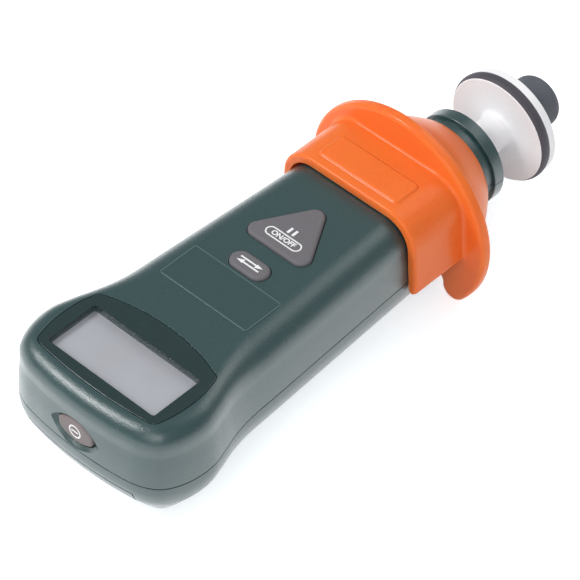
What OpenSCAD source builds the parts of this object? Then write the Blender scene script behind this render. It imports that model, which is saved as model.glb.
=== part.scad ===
// Hand-held contact tachometer lying on its back, display up.
// Across is X, along is Y from the display end to the rubber tip, up is Z. Millimetres.

/* [Case] */
// Length of the case from the display end to its front shoulder
case_l = 111.5; // [108:0.5:116]
// Width of the head around the display
head_w = 55.4; // [54:0.2:58]
// Width at the waist behind the display
waist_w = 47; // [45.6:0.2:48]
// Width of the grip under the guard's rear rim
grip_w = 40.2; // [39.4:0.2:41]
// Height of the display face above the shaft axis
top_h = 17; // [16.6:0.1:18]
// Depth of the back below the shaft axis
back_h = 20; // [19.4:0.1:21]
// Wall of both shells
wall = 2; // [1.8:0.1:2.2]
// Rounding of the edge around the display
edge_r = 5; // [4.4:0.1:5.2]
// Rounding of the edge along the grip
grip_edge_r = 7.6; // [6:0.1:8]
// Slit between the two shells
parting_gap = 0.2; // [0.1:0.05:0.3]

/* [Display] */
// Width of the lens
lens_w = 42.6; // [40.6:0.2:43]
// Length of the lens between its corners
lens_l = 21.6; // [21:0.2:22]
// Place of the lens from the display end
lens_y = 7.2; // [7:0.1:7.6]
// Thickness of the lens
lens_t = 1.2; // [1:0.1:1.3]
// Width of the display window
window_w = 35.2; // [33:0.2:35.8]
// Length of the display window
window_l = 15.6; // [14:0.2:16]
// Thickness of the display panel
panel_t = 2.6; // [2.2:0.1:2.8]

/* [Label] */
// Width of the label
label_w = 28.6; // [24:0.2:29]
// Length of the label
label_l = 12.3; // [11:0.1:12.8]
// Room between the label and the oval key
label_room = 1.1; // [1:0.1:2]
// Thickness of the label
label_t = 0.15; // [0.1:0.05:0.3]

/* [Keys] */
// Base of the triangular key
hold_w = 23.2; // [21:0.2:24]
// Length of the triangular key
hold_l = 19.9; // [18:0.1:20.4]
// Room between the triangular key and the guard
hold_room = 6.9; // [6:0.1:8]
// Corner rounding of the triangular key
hold_r = 2.6; // [2:0.1:3]
// Width of the oval key
unit_w = 11.4; // [10:0.2:11.8]
// Length of the oval key
unit_l = 5.6; // [5:0.1:6]
// Room between the two keys
unit_room = 5; // [4:0.1:5.6]
// Width of the end button
end_w = 11.4; // [10:0.2:12]
// Height of the almond-shaped recess around the end button
recess_h = 9; // [8.6:0.1:9.4]
// Width of the almond-shaped recess
recess_w = 16.4; // [16:0.1:17]
// Height that a key stands above its face
key_proud = 0.8; // [0.6:0.1:1]
// Travel of each key
key_travel = 0.6; // [0.4:0.05:0.7]
// Gap around each key
key_gap = 0.3; // [0.25:0.05:0.4]

/* [Guard] */
// Length of the sleeve over the case
sleeve_l = 17.5; // [16:0.5:19]
// Wall of the sleeve and the boss
guard_t = 2.5; // [2.2:0.1:2.8]
// Gap between sleeve and case
guard_gap = 0.3; // [0.2:0.05:0.4]
// Depth of the sleeve's sides below the shaft axis
sleeve_drop = 3; // [2:0.1:5]
// Radius of the flange
flange_r = 28.9; // [28:0.1:30]
// Thickness of the flange
flange_t = 3.4; // [3:0.1:3.8]
// Gap between the flange's two lobes
lobe_gap = 31.6; // [28:0.2:33]
// Radius of the boss at the flange
boss_r = 22.4; // [21.6:0.1:23]
// Length of the boss in front of the flange
boss_l = 15.2; // [14:0.1:15.6]

/* [Neck and shaft] */
// Radius of the split neck
neck_r = 13.1; // [12.8:0.05:13.3]
// Length of the neck in front of the shoulder
neck_l = 26.2; // [25:0.1:27]
// Radius of the shaft in its bearings
shaft_r = 4; // [3.8:0.05:4.2]
// Outer radius of a bearing
bearing_r = 8; // [7.6:0.1:8.4]
// Width of a bearing
bearing_w = 5; // [4:0.5:6]
// Running clearance of the shaft in a bearing
running = 0.04; // [0.02:0.01:0.08]
// Radius of the encoder disc
disc_r = 8.4; // [8:0.1:8.6]

/* [Wheel and tip] */
// Outer radius of the tyre
tyre_r = 15.6; // [15.5:0.05:15.9]
// Thickness of the tyre's section, across its width
tyre_t = 2; // [1.9:0.1:2.2]
// Width of the tyre's section, along the shaft
tyre_w = 3.2; // [3:0.1:3.4]
// Radius of the wheel's two rims
rim_r = 15.3; // [15:0.05:15.6]
// Length from the neck's front face to the tyre's middle
hub_l = 13.7; // [13.2:0.1:14.6]
// Radius of the wheel's hub
hub_r = 4.75; // [4.5:0.05:5.2]
// Radius of the rubber tip
tip_r = 7.2; // [6.8:0.1:7.6]
// Rounding of the tip's front edge
tip_round = 3.4; // [2.6:0.1:4]
// Length of the rubber tip
tip_l = 12.2; // [11:0.1:13]

/* [Battery] */
// Diameter of one cell
cell_d = 10.4; // [10.2:0.1:10.5]
// Length of one cell
cell_l = 44.4; // [44:0.1:44.6]
// Width of the battery door
door_w = 34.6; // [33:0.2:35]
// Place of the door's upper edge below the shaft axis
door_drop = 4.2; // [4:0.1:5]
// Gap around the battery door
door_gap = 0.3; // [0.25:0.05:0.4]

/* [Hidden] */
$fn = 64;
// Small overlap that makes cuts and joined solids clean
eps = 0.05;
// Gap left at seats that only touch
seat_gap = 0.1;

// Places along the case, counted back from its front shoulder
sleeve_y = case_l - sleeve_l;
hold_y = sleeve_y - hold_room - hold_l;
unit_y = hold_y - unit_room - unit_l / 2;
label_y = unit_y - unit_l / 2 - label_room - label_l;

// Outline of the case at the parting plane, right half, from the display end to the front shoulder
head_half = head_w / 2;
waist_half = waist_w / 2;
grip_half = grip_w / 2;
waist_y = 36;
taper = (waist_half - grip_half) / (sleeve_y - waist_y);
function grip_at(y) = waist_half - taper * (y - waist_y);
shoulder = 8;
knots = concat(
    [[0, 0], [head_half * 0.24, 0.2], [head_half * 0.47, 0.8], [head_half - 8.6, 2], [head_half - 3.9, 4.7],
     [head_half - 1.3, 9], [head_half - 0.1, 14], [head_half - 0.1, 19], [head_half - 1.4, 24],
     [(head_half + waist_half) / 2 - 1, 29.6], [waist_half, waist_y]],
    [for (y = [waist_y + 10 : 10 : case_l - shoulder - 6]) [grip_at(y), y]],
    [[grip_at(case_l - shoulder), case_l - shoulder], [grip_at(case_l) - 1.4, case_l - 3],
     [grip_at(case_l) - 5.4, case_l - 0.4], [grip_at(case_l) / 3, case_l], [0, case_l]]);
function mirrored(p) = [-p.x, p.y];
function knot(i) = i < 0 ? mirrored(knots[-i]) :
    i >= len(knots) ? mirrored(knots[2 * len(knots) - 2 - i]) : knots[i];
function curve(a, b, c, d, t) = 0.5 * (2 * b + (c - a) * t + (2 * a - 5 * b + 4 * c - d) * t * t
    + (3 * b - a - 3 * c + d) * t * t * t);
per_knot = 3;
right_side = concat([for (i = [0 : len(knots) - 2], j = [0 : per_knot - 1])
    curve(knot(i - 1), knot(i), knot(i + 1), knot(i + 2), j / per_knot)], [knots[len(knots) - 1]]);
side_n = len(right_side) - 1;
ring_n = 2 * side_n;
outline = concat(right_side, [for (i = [side_n - 1 : -1 : 1]) mirrored(right_side[i])]);

// One ring of the case: the outline drawn in square to itself up to the corners' own radius,
// and past that narrowed towards the middle line, at a height
square_inset = 6;
narrow_half = grip_half - square_inset + 2;
function outward(i) = let (d = outline[(i + 1) % ring_n] - outline[(i + ring_n - 1) % ring_n])
    [d.y, -d.x] / norm(d);
// Share of the grip's own section, from none at the head to all behind the waist
function grip_share(y) = let (t = max(0, min(1, (y - waist_y * 0.7) / (waist_y * 0.5)))) t * t * (3 - 2 * t);
// A section point is an inset at the head, a height and an inset at the grip
function ring(s) = [for (i = [0 : ring_n - 1])
    let (inset = s[0] + (s[2] - s[0]) * grip_share(outline[i].y), square = min(inset, square_inset),
         rest = inset - square, p = outline[i] - square * outward(i))
    [p.x * (1 - rest / narrow_half),
     case_l / 2 + (p.y - case_l / 2) * (1 - rest / (case_l / 2 - square_inset)), s[1]]];

// Section of the front shell as inset and height: side with a little draft, then the rounded edge
draft = 0.8;
edge_steps = 6;
function fillet(r, top, z) = let (t = (z - top + r) / r) t <= 0 ? 0 : r * (1 - sqrt(max(0, 1 - t * t)));
function front_point(z, grow = 0) = let (top = top_h - grow)
    [draft + grow + fillet(edge_r - grow, top, z), z, draft + grow + fillet(grip_edge_r - grow, top, z)];
front_section = concat([[0, parting_gap / 2, 0], [0.25, top_h * 0.3, 0.25]],
    [for (k = [0 : edge_steps]) front_point(top_h - grip_edge_r + grip_edge_r * sin(90 * k / edge_steps))]);
front_inner = concat([for (a = [90, 55, 30, 0])
    front_point(top_h - grip_edge_r + (grip_edge_r - wall) * sin(a), wall)],
    [[wall + 0.2, parting_gap / 2, wall + 0.2]]);
// Section of the rear shell as inset and depth: short upright side, turned under to a flat back
function rear_point(inset, z) = [inset, z, inset];
rear_section = [for (q = [[0, parting_gap / 2], [0.05, 2.7], [0.5, back_h * 0.25], [1.4, back_h * 0.36],
    [3.4, back_h * 0.5], [6.3, back_h * 0.7], [8.6, back_h * 0.86], [10.2, back_h * 0.95], [12, back_h]])
    rear_point(q.x, q.y)];
rear_inner = [for (q = [[12 + wall * 0.8, back_h - wall], [8.6 + wall, back_h * 0.86 - wall],
    [3.4 + wall, back_h * 0.5 - wall], [wall + 0.2, back_h * 0.2], [wall + 0.1, parting_gap / 2]])
    rear_point(q.x, q.y)];

// Neck, from the inside of the shoulder to its front face
neck_y = case_l - wall;
neck_end = case_l + neck_l;
lip = 2;
lip_r = bearing_r - 1.6;
groove_w = 2.6;
groove_d = 1;
ring_w = 3.4;
fit = 0.02;
front_bearing_y = neck_end - lip - bearing_w;
rear_bearing_y = neck_y + lip;

// Heights inside the front shell
face_in = top_h - wall;
ledge = top_h - lens_t;
panel_top = face_in - seat_gap;
board_t = 1.6;
board_top = 4.6;
board_bottom = board_top - board_t;
switch_h = 3.4;
switch_top = board_top + switch_h;
key_flange = 1.2;
key_lip = 1;
stem_bottom = switch_top + key_travel + seat_gap;
flange_top = face_in - seat_gap;

// Display
lens_round = 2.4;
lens_bulge_side = 1.2;
lens_bulge_end = 1.2;
lens_bulge_top = 3;
window_y = lens_y + (lens_l - window_l) / 2 - 0.9;
panel_w = window_w + 3;
panel_l = window_l + 3;
panel_y = window_y - 1;
frame_t = 1.2;
frame_gap = 0.15;
frame_ledge = 1.5;
strip_w = 2;
strip_in = 2.5;

// Triangular key, as the centres of its rounded corners
hold_base = atan(2 * hold_l / hold_w);
hold_centres = [[-hold_w / 2 + hold_r / tan(hold_base / 2), hold_y + hold_r],
    [hold_w / 2 - hold_r / tan(hold_base / 2), hold_y + hold_r],
    [0, hold_y + hold_l - hold_r / cos(hold_base)]];
hold_mid = hold_y + hold_l * 0.4;

// End button
end_z = recess_h / 2 + 0.7;
end_floor = 1.4;
end_face = 0.6;
end_wall_in = wall + draft + 0.25;
switch_w = 6;
end_lip_t = 0.6;
end_stem_l = 1.5;
end_switch_y = end_wall_in + 2 * seat_gap + end_stem_l + key_travel;

// Board
board_y = 4.6;
board_end = sleeve_y + 8.4;
board_w = 33;
board_head_w = 42;
board_head_l = 26;
chip_half = 6;
chip_t = 1.4;

// Screws
screw_r = 1.25;
screw_head_r = 2.3;
screw_head_h = 1.8;
boss_pipe_r = 3;
// The pair at the oval key stands clear of its lip, and the pair in the guard clear of the sensor
unit_screw = [unit_w / 2 + key_lip + boss_pipe_r + key_gap, unit_y - 1.4];
guard_screw = [boss_pipe_r + 4, sleeve_y + 5];
screw_places = [for (p = [unit_screw, guard_screw], s = [-1, 1]) [s * p.x, p.y]];
post_bottom = -back_h + wall + 1;
screw_seat = -back_h * 0.55;
screw_tip = 9;
pilot = 0.15;
board_screw_x = 14;
board_screw_r = 0.9;
board_screw_head_r = 1.7;
board_screw_head_h = 1.1;
board_screw_tip = 10;
board_screw_places = [for (y = [waist_y + 6, hold_y + hold_l + 3], s = [-1, 1]) [s * board_screw_x, y]];

// Guard
flange_y = case_l + guard_gap;
flange_front = flange_y + flange_t;
boss_front = flange_front + boss_l;
sleeve_in = grip_half - draft + guard_gap;
sleeve_out = sleeve_in + guard_t;
sleeve_top_in = top_h + guard_gap;
sleeve_top = sleeve_top_in + guard_t;
sleeve_round = grip_edge_r + guard_t - 0.4;
sleeve_lean = 1.9;
lobe_round = 5;
lobe_bottom = back_h - 0.2;
lobe_top = neck_r + 0.5;
lobe_in_round = 3;
rim_round = 1.2;
panel_rise = 0.5;
panel_x = 13;
panel_back = sleeve_y + 3;
panel_front = sleeve_y + 11.4;

// Shaft line
disc_t = 1.2;
disc_y = neck_y - 5;
shaft_start = disc_y - 1.6;
nose_r = 3;
hub_start = neck_end + 0.6;
tyre_y = neck_end + hub_l;
rim_back_w = 0.55;
rim_w = 2.3;
tyre_ring_r = tyre_r - tyre_t / 2;
rim_back = tyre_y - tyre_w / 2 + 0.3 - rim_back_w;
rim_front = tyre_y + tyre_w / 2 - 0.3 + rim_w;
web_t = 1.8;
dish_d = 0.6;
hub_fillet = 1.4;
tip_start = rim_front + 0.4;
full_l = tip_start + tip_l;
shaft_end = full_l - tip_l * 0.45;

// Battery
cell_x = cell_d / 2 + 0.4;
cell_room = 1;
cell_z = board_bottom - cell_room - cell_d / 2;
link_t = 0.5;
cell_y = board_y + link_t + 0.7;
bay_wall = 1.4;
door_l = cell_y + cell_l + 0.2;
bay_end = door_l + door_gap + 0.8;
contact_t = 0.5;
contact_half = 3;
lead_r = 0.5;
nub_r = 1.9;

// Origin under the middle of the whole instrument, on the surface that it lies on
module placed() { translate([0, -full_l / 2, back_h]) children(); }
// Turn about the shaft axis, drawn as radius and place along Y
module turned() { rotate([-90, 0, 0]) rotate_extrude() children(); }
// Outline in X and Z, drawn along Y from one place to another
module along(from, to) { translate([0, to, 0]) rotate([90, 0, 0]) linear_extrude(to - from) children(); }
module block(low, high) { translate(low) cube(high - low); }

// Closed hollow shell from the rings of its outer and inner section
module shell(outer, inner) {
    section = concat(outer, inner);
    rings = [for (s = section) ring(s)];
    n = len(section);
    crown = len(outer) - 1;
    left = function (i) i == 0 ? 0 : i == side_n ? side_n : ring_n - i;
    sides = [for (r = [0 : n - 1]) if (r != crown) for (i = [0 : ring_n - 1])
        let (a = r * ring_n, b = ((r + 1) % n) * ring_n, j = (i + 1) % ring_n) [a + i, b + i, b + j, a + j]];
    function strip(i) = i == 0 ? [0, left(1), 1] :
        i == side_n - 1 ? [i, left(i), side_n] : [i, left(i), left(i + 1), i + 1];
    lids = [for (i = [0 : side_n - 1]) [for (k = strip(i)) crown * ring_n + k]];
    floors = [for (i = [0 : side_n - 1]) [for (k = [len(strip(i)) - 1 : -1 : 0])
        (crown + 1) * ring_n + strip(i)[k]]];
    polyhedron([for (r = rings) each r], concat(sides, lids, floors), convexity = 6);
}

// Points of a rounded outline around corner centres that run anticlockwise
function edge_angle(a, b) = atan2(a.x - b.x, b.y - a.y);
function rounded(centres, r, steps = 6) = [for (i = [0 : len(centres) - 1])
    let (n = len(centres), before = centres[(i + n - 1) % n], here = centres[i], next = centres[(i + 1) % n],
         a = edge_angle(before, here), turn = (edge_angle(here, next) - a + 720) % 360)
    for (k = [0 : steps]) here + r * [cos(a + turn * k / steps), sin(a + turn * k / steps)]];
function bulged(a, b, rise, steps = 5) = [for (k = [0 : steps - 1])
    let (t = k / steps, d = b - a) a + d * t + [d.y, -d.x] / norm(d) * 4 * rise * t * (1 - t)];
function box_centres(w, l, y, r) = [[-w / 2 + r, y + r], [w / 2 - r, y + r], [w / 2 - r, y + l - r],
    [-w / 2 + r, y + l - r]];

module stadium(w, l, grow = 0) {
    for (s = [-1, 1]) translate([s * (w - l) / 2, 0]) circle(l / 2 + grow);
    square([w - l, l + 2 * grow], center = true);
}
module almond(grow = 0) {
    rise = recess_h / 2;
    bow = (recess_w * recess_w / 4 + rise * rise) / (2 * rise);
    translate([0, end_z]) intersection_for (s = [-1, 1]) translate([0, s * (bow - rise)]) circle(bow + grow);
}
module end_button_outline(grow = 0) {
    intersection() {
        almond(grow - key_gap);
        translate([0, end_z]) square([end_w + 2 * grow, recess_h], center = true);
    }
}
module lens_outline(grow = 0) {
    c = box_centres(lens_w - 2 * lens_bulge_side, lens_l, lens_y, lens_round);
    centres = concat(bulged(c[0], c[1], lens_bulge_end), bulged(c[1], c[2], lens_bulge_side),
        bulged(c[2], c[3], lens_bulge_top), bulged(c[3], c[0], lens_bulge_side));
    polygon(rounded(centres, lens_round + grow, 3));
}
module rounded_box(w, l, y, r) { polygon(rounded(box_centres(w, l, y, r), r)); }
module hold_outline(grow = 0) { polygon(rounded(hold_centres, hold_r + grow)); }

// The neck of the case with its groove, lip and bearing bore
module neck() {
    turned() difference() {
        polygon([[lip_r, neck_y], [neck_r, neck_y], [neck_r, neck_end - ring_w - groove_w],
            [neck_r - groove_d, neck_end - ring_w - groove_w], [neck_r - groove_d, neck_end - ring_w],
            [neck_r, neck_end - ring_w], [neck_r, neck_end], [lip_r, neck_end]]);
        translate([0, rear_bearing_y]) square([bearing_r, neck_end - lip - rear_bearing_y]);
    }
}
module neck_half(side) {
    intersection() {
        neck();
        translate([0, 0, side * (2 * neck_r + parting_gap / 2)])
            block([-2 * neck_r, neck_y - eps, -2 * neck_r], [2 * neck_r, neck_end + eps, 2 * neck_r]);
    }
}
// Room for the neck where it passes through the front wall of the case
module neck_room() { along(neck_y - 1, case_l + 1) circle(neck_r - 1); }

module front_shell() color("#2f4a45") placed() {
    difference() {
        union() {
            difference() {
                shell(front_section, front_inner);
                neck_room();
            }
            neck_half(1);
            for (p = screw_places) translate([p.x, p.y, parting_gap / 2])
                cylinder(r = boss_pipe_r, h = face_in + eps - parting_gap / 2);
            for (p = board_screw_places) translate([p.x, p.y, board_top])
                cylinder(r = board_screw_head_r + 0.4, h = face_in + eps - board_top);
        }
        translate([0, 0, ledge]) linear_extrude(lens_t + 1) lens_outline(seat_gap);
        translate([0, 0, face_in - 1]) linear_extrude(wall + 2)
            rounded_box(window_w, window_l, window_y, 0.8);
        translate([0, 0, face_in - 1]) linear_extrude(wall + 2) hold_outline(key_gap);
        translate([0, unit_y, face_in - 1]) linear_extrude(wall + 2) stadium(unit_w, unit_l, key_gap);
        along(-1, end_floor) almond();
        along(-1, end_wall_in + 1) end_button_outline(key_gap);
        for (p = screw_places) translate([p.x, p.y, 0]) cylinder(r = screw_r - pilot, h = screw_tip + 1);
        for (p = board_screw_places) translate([p.x, p.y, board_top - 1])
            cylinder(r = board_screw_r - pilot, h = board_screw_tip - board_top + 2);
    }
}

// Space that the battery door fills, grown by a gap
module door_space(grow) {
    block([-door_w / 2 - grow, -5, -back_h - 5], [door_w / 2 + grow, door_l + grow, -door_drop + grow]);
}
module rear_cup() { mirror([0, 0, 1]) shell(rear_section, rear_inner); }

module rear_shell() color("#2f4a45") placed() {
    difference() {
        union() {
            difference() {
                rear_cup();
                door_space(door_gap);
                neck_room();
            }
            neck_half(-1);
            intersection() {
                block([-waist_half, bay_end, -back_h + wall / 2],
                    [waist_half, bay_end + bay_wall, -parting_gap / 2]);
                mirror([0, 0, 1]) shell_core();
            }
            for (p = screw_places) translate([p.x, p.y, post_bottom])
                cylinder(r = boss_pipe_r, h = -post_bottom - parting_gap / 2);
        }
        for (p = screw_places) translate([p.x, p.y, -back_h - 1]) {
            cylinder(r = screw_r + 0.15, h = back_h + 1);
            cylinder(r = screw_head_r + 0.2, h = back_h + 1 + screw_seat);
        }
    }
}
// Room inside the rear shell, for walls that end on its inner face
module shell_core() {
    last = len(rear_inner) - 1;
    along(bay_end - 1, bay_end + bay_wall + 1) polygon([for (s = [1, -1], k = [0 : last])
        let (q = rear_inner[s > 0 ? k : last - k]) [s * (grip_at(bay_end) - q[0] + wall / 2), q[1]]]);
}

module battery_door() color("#2f4a45") placed() {
    intersection() {
        rear_cup();
        door_space(0);
    }
}

module display_lens() color("#16302c") placed() {
    translate([0, 0, ledge]) linear_extrude(lens_t) lens_outline();
}
module display_panel() color("#a9abb2") placed() {
    translate([0, 0, panel_top - panel_t]) linear_extrude(panel_t)
        rounded_box(panel_w, panel_l, panel_y, 0.6);
}
// Frame that carries the panel on the board
module display_frame() color("#e8e6df") placed() {
    grow = frame_t + frame_gap;
    difference() {
        translate([0, 0, board_top]) linear_extrude(panel_top - panel_t + 1 - board_top)
            rounded_box(panel_w + 2 * grow, panel_l + 2 * grow, panel_y - grow, 1);
        translate([0, 0, panel_top - panel_t]) linear_extrude(panel_t)
            rounded_box(panel_w + 2 * frame_gap, panel_l + 2 * frame_gap, panel_y - frame_gap, 0.6);
        translate([0, 0, board_top - 1]) linear_extrude(panel_top)
            rounded_box(panel_w - 2 * frame_ledge, panel_l - 2 * frame_ledge, panel_y + frame_ledge, 0.6);
    }
}
module contact_strip() color("#3a3a3c") placed() {
    far = panel_y + panel_l - strip_in;
    block([-panel_w / 2 + strip_in, far - strip_w, board_top],
        [panel_w / 2 - strip_in, far, panel_top - panel_t]);
}
// Bare label, a thin plate on the face
module label_plate() color("#38524c") placed() {
    translate([0, 0, top_h]) linear_extrude(label_t) rounded_box(label_w, label_l, label_y, 0.6);
}

module circuit_board() color("#1f5b3a") placed() {
    half = board_w / 2;
    head = board_head_w / 2;
    far = board_y + board_head_l;
    difference() {
        translate([0, 0, board_bottom]) linear_extrude(board_t) polygon([[-half, board_y], [half, board_y],
            [head, board_y + 6], [head, far - 4], [half, far], [half, board_end], [-half, board_end],
            [-half, far], [-head, far - 4], [-head, board_y + 6]]);
        for (p = screw_places) translate([p.x, p.y, 0])
            cylinder(r = boss_pipe_r + key_gap, h = board_top + 1);
        for (p = board_screw_places) translate([p.x, p.y, 0])
            cylinder(r = board_screw_r + seat_gap, h = board_top + 1);
    }
}
module processor_chip() color("#222326") placed() {
    y = hold_mid;
    block([-chip_half, y - chip_half, board_bottom - chip_t], [chip_half, y + chip_half, board_bottom]);
}

// A key: cap through the face, lip under the face, stem down to its switch
module hold_key() color("#77787a") placed() {
    translate([0, 0, flange_top - key_flange]) linear_extrude(key_flange) hold_outline(key_lip);
    translate([0, 0, flange_top - eps]) linear_extrude(top_h + key_proud - flange_top + eps) hold_outline();
    translate([0, hold_mid, stem_bottom]) cylinder(r = 1.6, h = flange_top - stem_bottom);
}
module unit_key() color("#77787a") placed() {
    translate([0, unit_y, flange_top - key_flange])
        linear_extrude(key_flange) stadium(unit_w, unit_l, key_lip);
    translate([0, unit_y, flange_top - eps])
        linear_extrude(top_h + key_proud - flange_top + eps) stadium(unit_w, unit_l);
    translate([0, unit_y, stem_bottom]) cylinder(r = 1.6, h = flange_top - stem_bottom);
}
module end_button() color("#8a807e") placed() {
    lip_y = end_wall_in + 2 * seat_gap;
    along(end_face, lip_y + eps) end_button_outline();
    along(lip_y, lip_y + end_lip_t) intersection() {
        end_button_outline(key_lip);
        translate([-recess_w, parting_gap / 2 + key_gap]) square([2 * recess_w, 2 * recess_h]);
    }
    along(lip_y + eps, lip_y + end_stem_l - seat_gap) translate([0, board_top + switch_h / 2]) circle(1.3);
}
module switch_body(y) {
    block([-switch_w / 2, y - switch_w / 2, board_top], [switch_w / 2, y + switch_w / 2, switch_top]);
}
module hold_switch() color("#303236") placed() switch_body(hold_mid);
module unit_switch() color("#303236") placed() switch_body(unit_y);
module end_switch() color("#303236") placed() {
    block([-switch_w / 2, end_switch_y, board_top], [switch_w / 2, panel_y - frame_t - frame_gap - seat_gap,
        board_top + switch_h]);
}

// Section of the sleeve in X and Z, open below
module sleeve_outline(half, top, r) {
    intersection() {
        polygon(rounded([[r - half - sleeve_lean, -half], [half + sleeve_lean - r, -half],
            [half - r, top - r], [r - half, top - r]], r));
        translate([-2 * half, -sleeve_drop]) square([4 * half, top + half]);
    }
}
module contact_guard() color("#f0702a") placed() {
    difference() {
        union() {
            along(sleeve_y, flange_y + eps) difference() {
                sleeve_outline(sleeve_out, sleeve_top, sleeve_round);
                translate([0, -1]) sleeve_outline(sleeve_in, sleeve_top_in + 1, sleeve_round - guard_t);
            }
            block([-panel_x, panel_back, sleeve_top - 1], [panel_x, panel_front, sleeve_top + panel_rise]);
            intersection() {
                turned() guard_profile();
                along(flange_y - 1, boss_front + 1) guard_outline();
            }
        }
        along(sleeve_y - 1, case_l + guard_gap) translate([0, -eps])
            sleeve_outline(sleeve_in, sleeve_top_in, sleeve_round - guard_t);
        along(flange_y - 1, flange_front + 1) lobe_opening();
    }
}
// Flange with rounded rim and the domed boss in front of it, as radius and place along Y
module guard_profile() {
    hole = neck_r + guard_gap;
    fall = boss_r - hole - 0.8;
    steps = 10;
    outer = [for (k = [0 : steps]) let (t = k / steps)
        [boss_r - fall * pow(t, 1.6), flange_front + boss_l * t]];
    inner = [for (k = [steps : -1 : 0]) let (t = k / steps)
        [boss_r - guard_t - (fall - guard_t + 0.8) * pow(t, 1.6),
         flange_y + (boss_l + flange_t - guard_t) * t]];
    rear = [for (k = [0 : 4]) let (a = 90 * k / 4)
        [flange_r - rim_round * (1 - sin(a)), flange_y + rim_round * (1 - cos(a))]];
    front = [for (k = [0 : 4]) let (a = 90 * k / 4)
        [flange_r - rim_round * (1 - cos(a)), flange_front - rim_round * (1 - sin(a))]];
    polygon(concat(rear, front, outer, [[hole, boss_front]], inner));
}
module guard_outline() {
    w = 2 * flange_r + 2;
    polygon(rounded(box_centres(w, w, -lobe_bottom, lobe_round), lobe_round));
}
module lobe_opening() {
    depth = 2 * back_h;
    polygon(rounded(box_centres(lobe_gap, depth, -lobe_top - depth, lobe_in_round), lobe_in_round));
}

module drive_shaft() color("#c9c4bd") placed() {
    turned() polygon([[0, shaft_start], [shaft_r, shaft_start], [shaft_r, hub_start], [nose_r, hub_start],
        [nose_r, shaft_end], [0, shaft_end]]);
}
module bearing(y) {
    turned() translate([shaft_r + running, y]) square([bearing_r - fit - shaft_r - running, bearing_w]);
}
module front_bearing() color("#b8bcc2") placed() bearing(front_bearing_y);
module rear_bearing() color("#b8bcc2") placed() bearing(rear_bearing_y);
module bearing_spacer() color("#d8d8d4") placed() {
    turned() translate([bearing_r - 1.8, rear_bearing_y + bearing_w])
        square([1.8 - fit, front_bearing_y - rear_bearing_y - bearing_w]);
}
module shaft_clip() color("#8f9399") placed() {
    turned() translate([shaft_r + fit, neck_y - 0.9]) square([1.4, 0.7]);
}
module encoder_disc() color("#2a2a2e") placed() {
    slots = 10;
    difference() {
        turned() translate([shaft_r + fit, disc_y]) square([disc_r - shaft_r - fit, disc_t]);
        for (k = [0 : slots - 1]) rotate([0, k * 360 / slots, 0])
            block([-0.9, disc_y - 1, disc_r - 3], [0.9, disc_y + disc_t + 1, disc_r - 0.8]);
    }
}
// Fork that stands on the board and straddles the disc's edge
module optical_sensor() color("#26282c") placed() {
    slot = 0.8;
    arm = 1.4;
    top = disc_r + 2.6;
    back = disc_y - slot - arm;
    difference() {
        union() {
            block([-3, back - 2.2, board_top], [3, back + arm, top]);
            block([-3, back, disc_r - 3.4], [3, disc_y + disc_t + slot + arm, top]);
        }
        block([-4, disc_y - slot, 0], [4, disc_y + disc_t + slot, disc_r + slot]);
    }
}

// Section of the tyre, an oval, and of its groove
function tyre_loop(grow) = [for (k = [0 : 23]) let (a = 15 * k)
    [tyre_ring_r + (tyre_t / 2 + grow) * cos(a), tyre_y + (tyre_w / 2 + grow) * sin(a)]];

// Wheel: slim hub on a shallow dish, two rims with the tyre's groove between, hub face in front
module contact_wheel() color("#f1eeee") placed() {
    deep = rim_back + dish_d;
    root = hub_r + hub_fillet;
    back_r = rim_r - 0.4;
    edge = back_r - 0.15;
    turned() difference() {
        polygon(concat([[nose_r + fit, hub_start], [hub_r, hub_start]],
            [for (k = [0 : 6]) let (a = 90 * k / 6)
                [hub_r + hub_fillet * (1 - cos(a)), deep - hub_fillet * (1 - sin(a))]],
            [for (k = [1 : 6]) let (t = k / 6) [root + (edge - root) * t, deep - dish_d * t * t]],
            [[back_r, rim_back + 0.15], [back_r, tyre_y], [rim_r, tyre_y], [rim_r, rim_front - 0.6],
             [rim_r - 0.6, rim_front], [rim_r - 1.8, rim_front], [rim_r - 2.6, rim_front - web_t],
             [tip_r + 0.6, rim_front - web_t], [tip_r, tip_start], [nose_r + fit, tip_start]]));
        polygon(tyre_loop(fit));
    }
}
module wheel_tyre() color("#2b2a33") placed() {
    turned() polygon(tyre_loop(0));
}
module rubber_tip() color("#2c2a2e") placed() {
    steps = 6;
    turned() polygon(concat([[nose_r + fit, tip_start + fit], [tip_r, tip_start + fit]],
        [for (k = [0 : steps]) let (a = 90 * k / steps)
            [tip_r - tip_round * (1 - cos(a)), full_l - tip_round * 0.9 + tip_round * 0.9 * sin(a)]],
        [[0, full_l], [0, shaft_end + fit], [nose_r + fit, shaft_end + fit]]));
}

module cell(side) {
    translate([side * cell_x, 0, cell_z]) turned() polygon([[0, cell_y], [cell_d / 2 - 0.5, cell_y],
        [cell_d / 2, cell_y + 0.5], [cell_d / 2, cell_y + cell_l - 1.4],
        [cell_d / 2 - 0.8, cell_y + cell_l - 0.8], [nub_r, cell_y + cell_l - 0.8], [nub_r, cell_y + cell_l],
        [0, cell_y + cell_l]]);
}
module left_cell() color("#3b4a78") placed() cell(-1);
module right_cell() color("#3b4a78") placed() cell(1);
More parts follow.
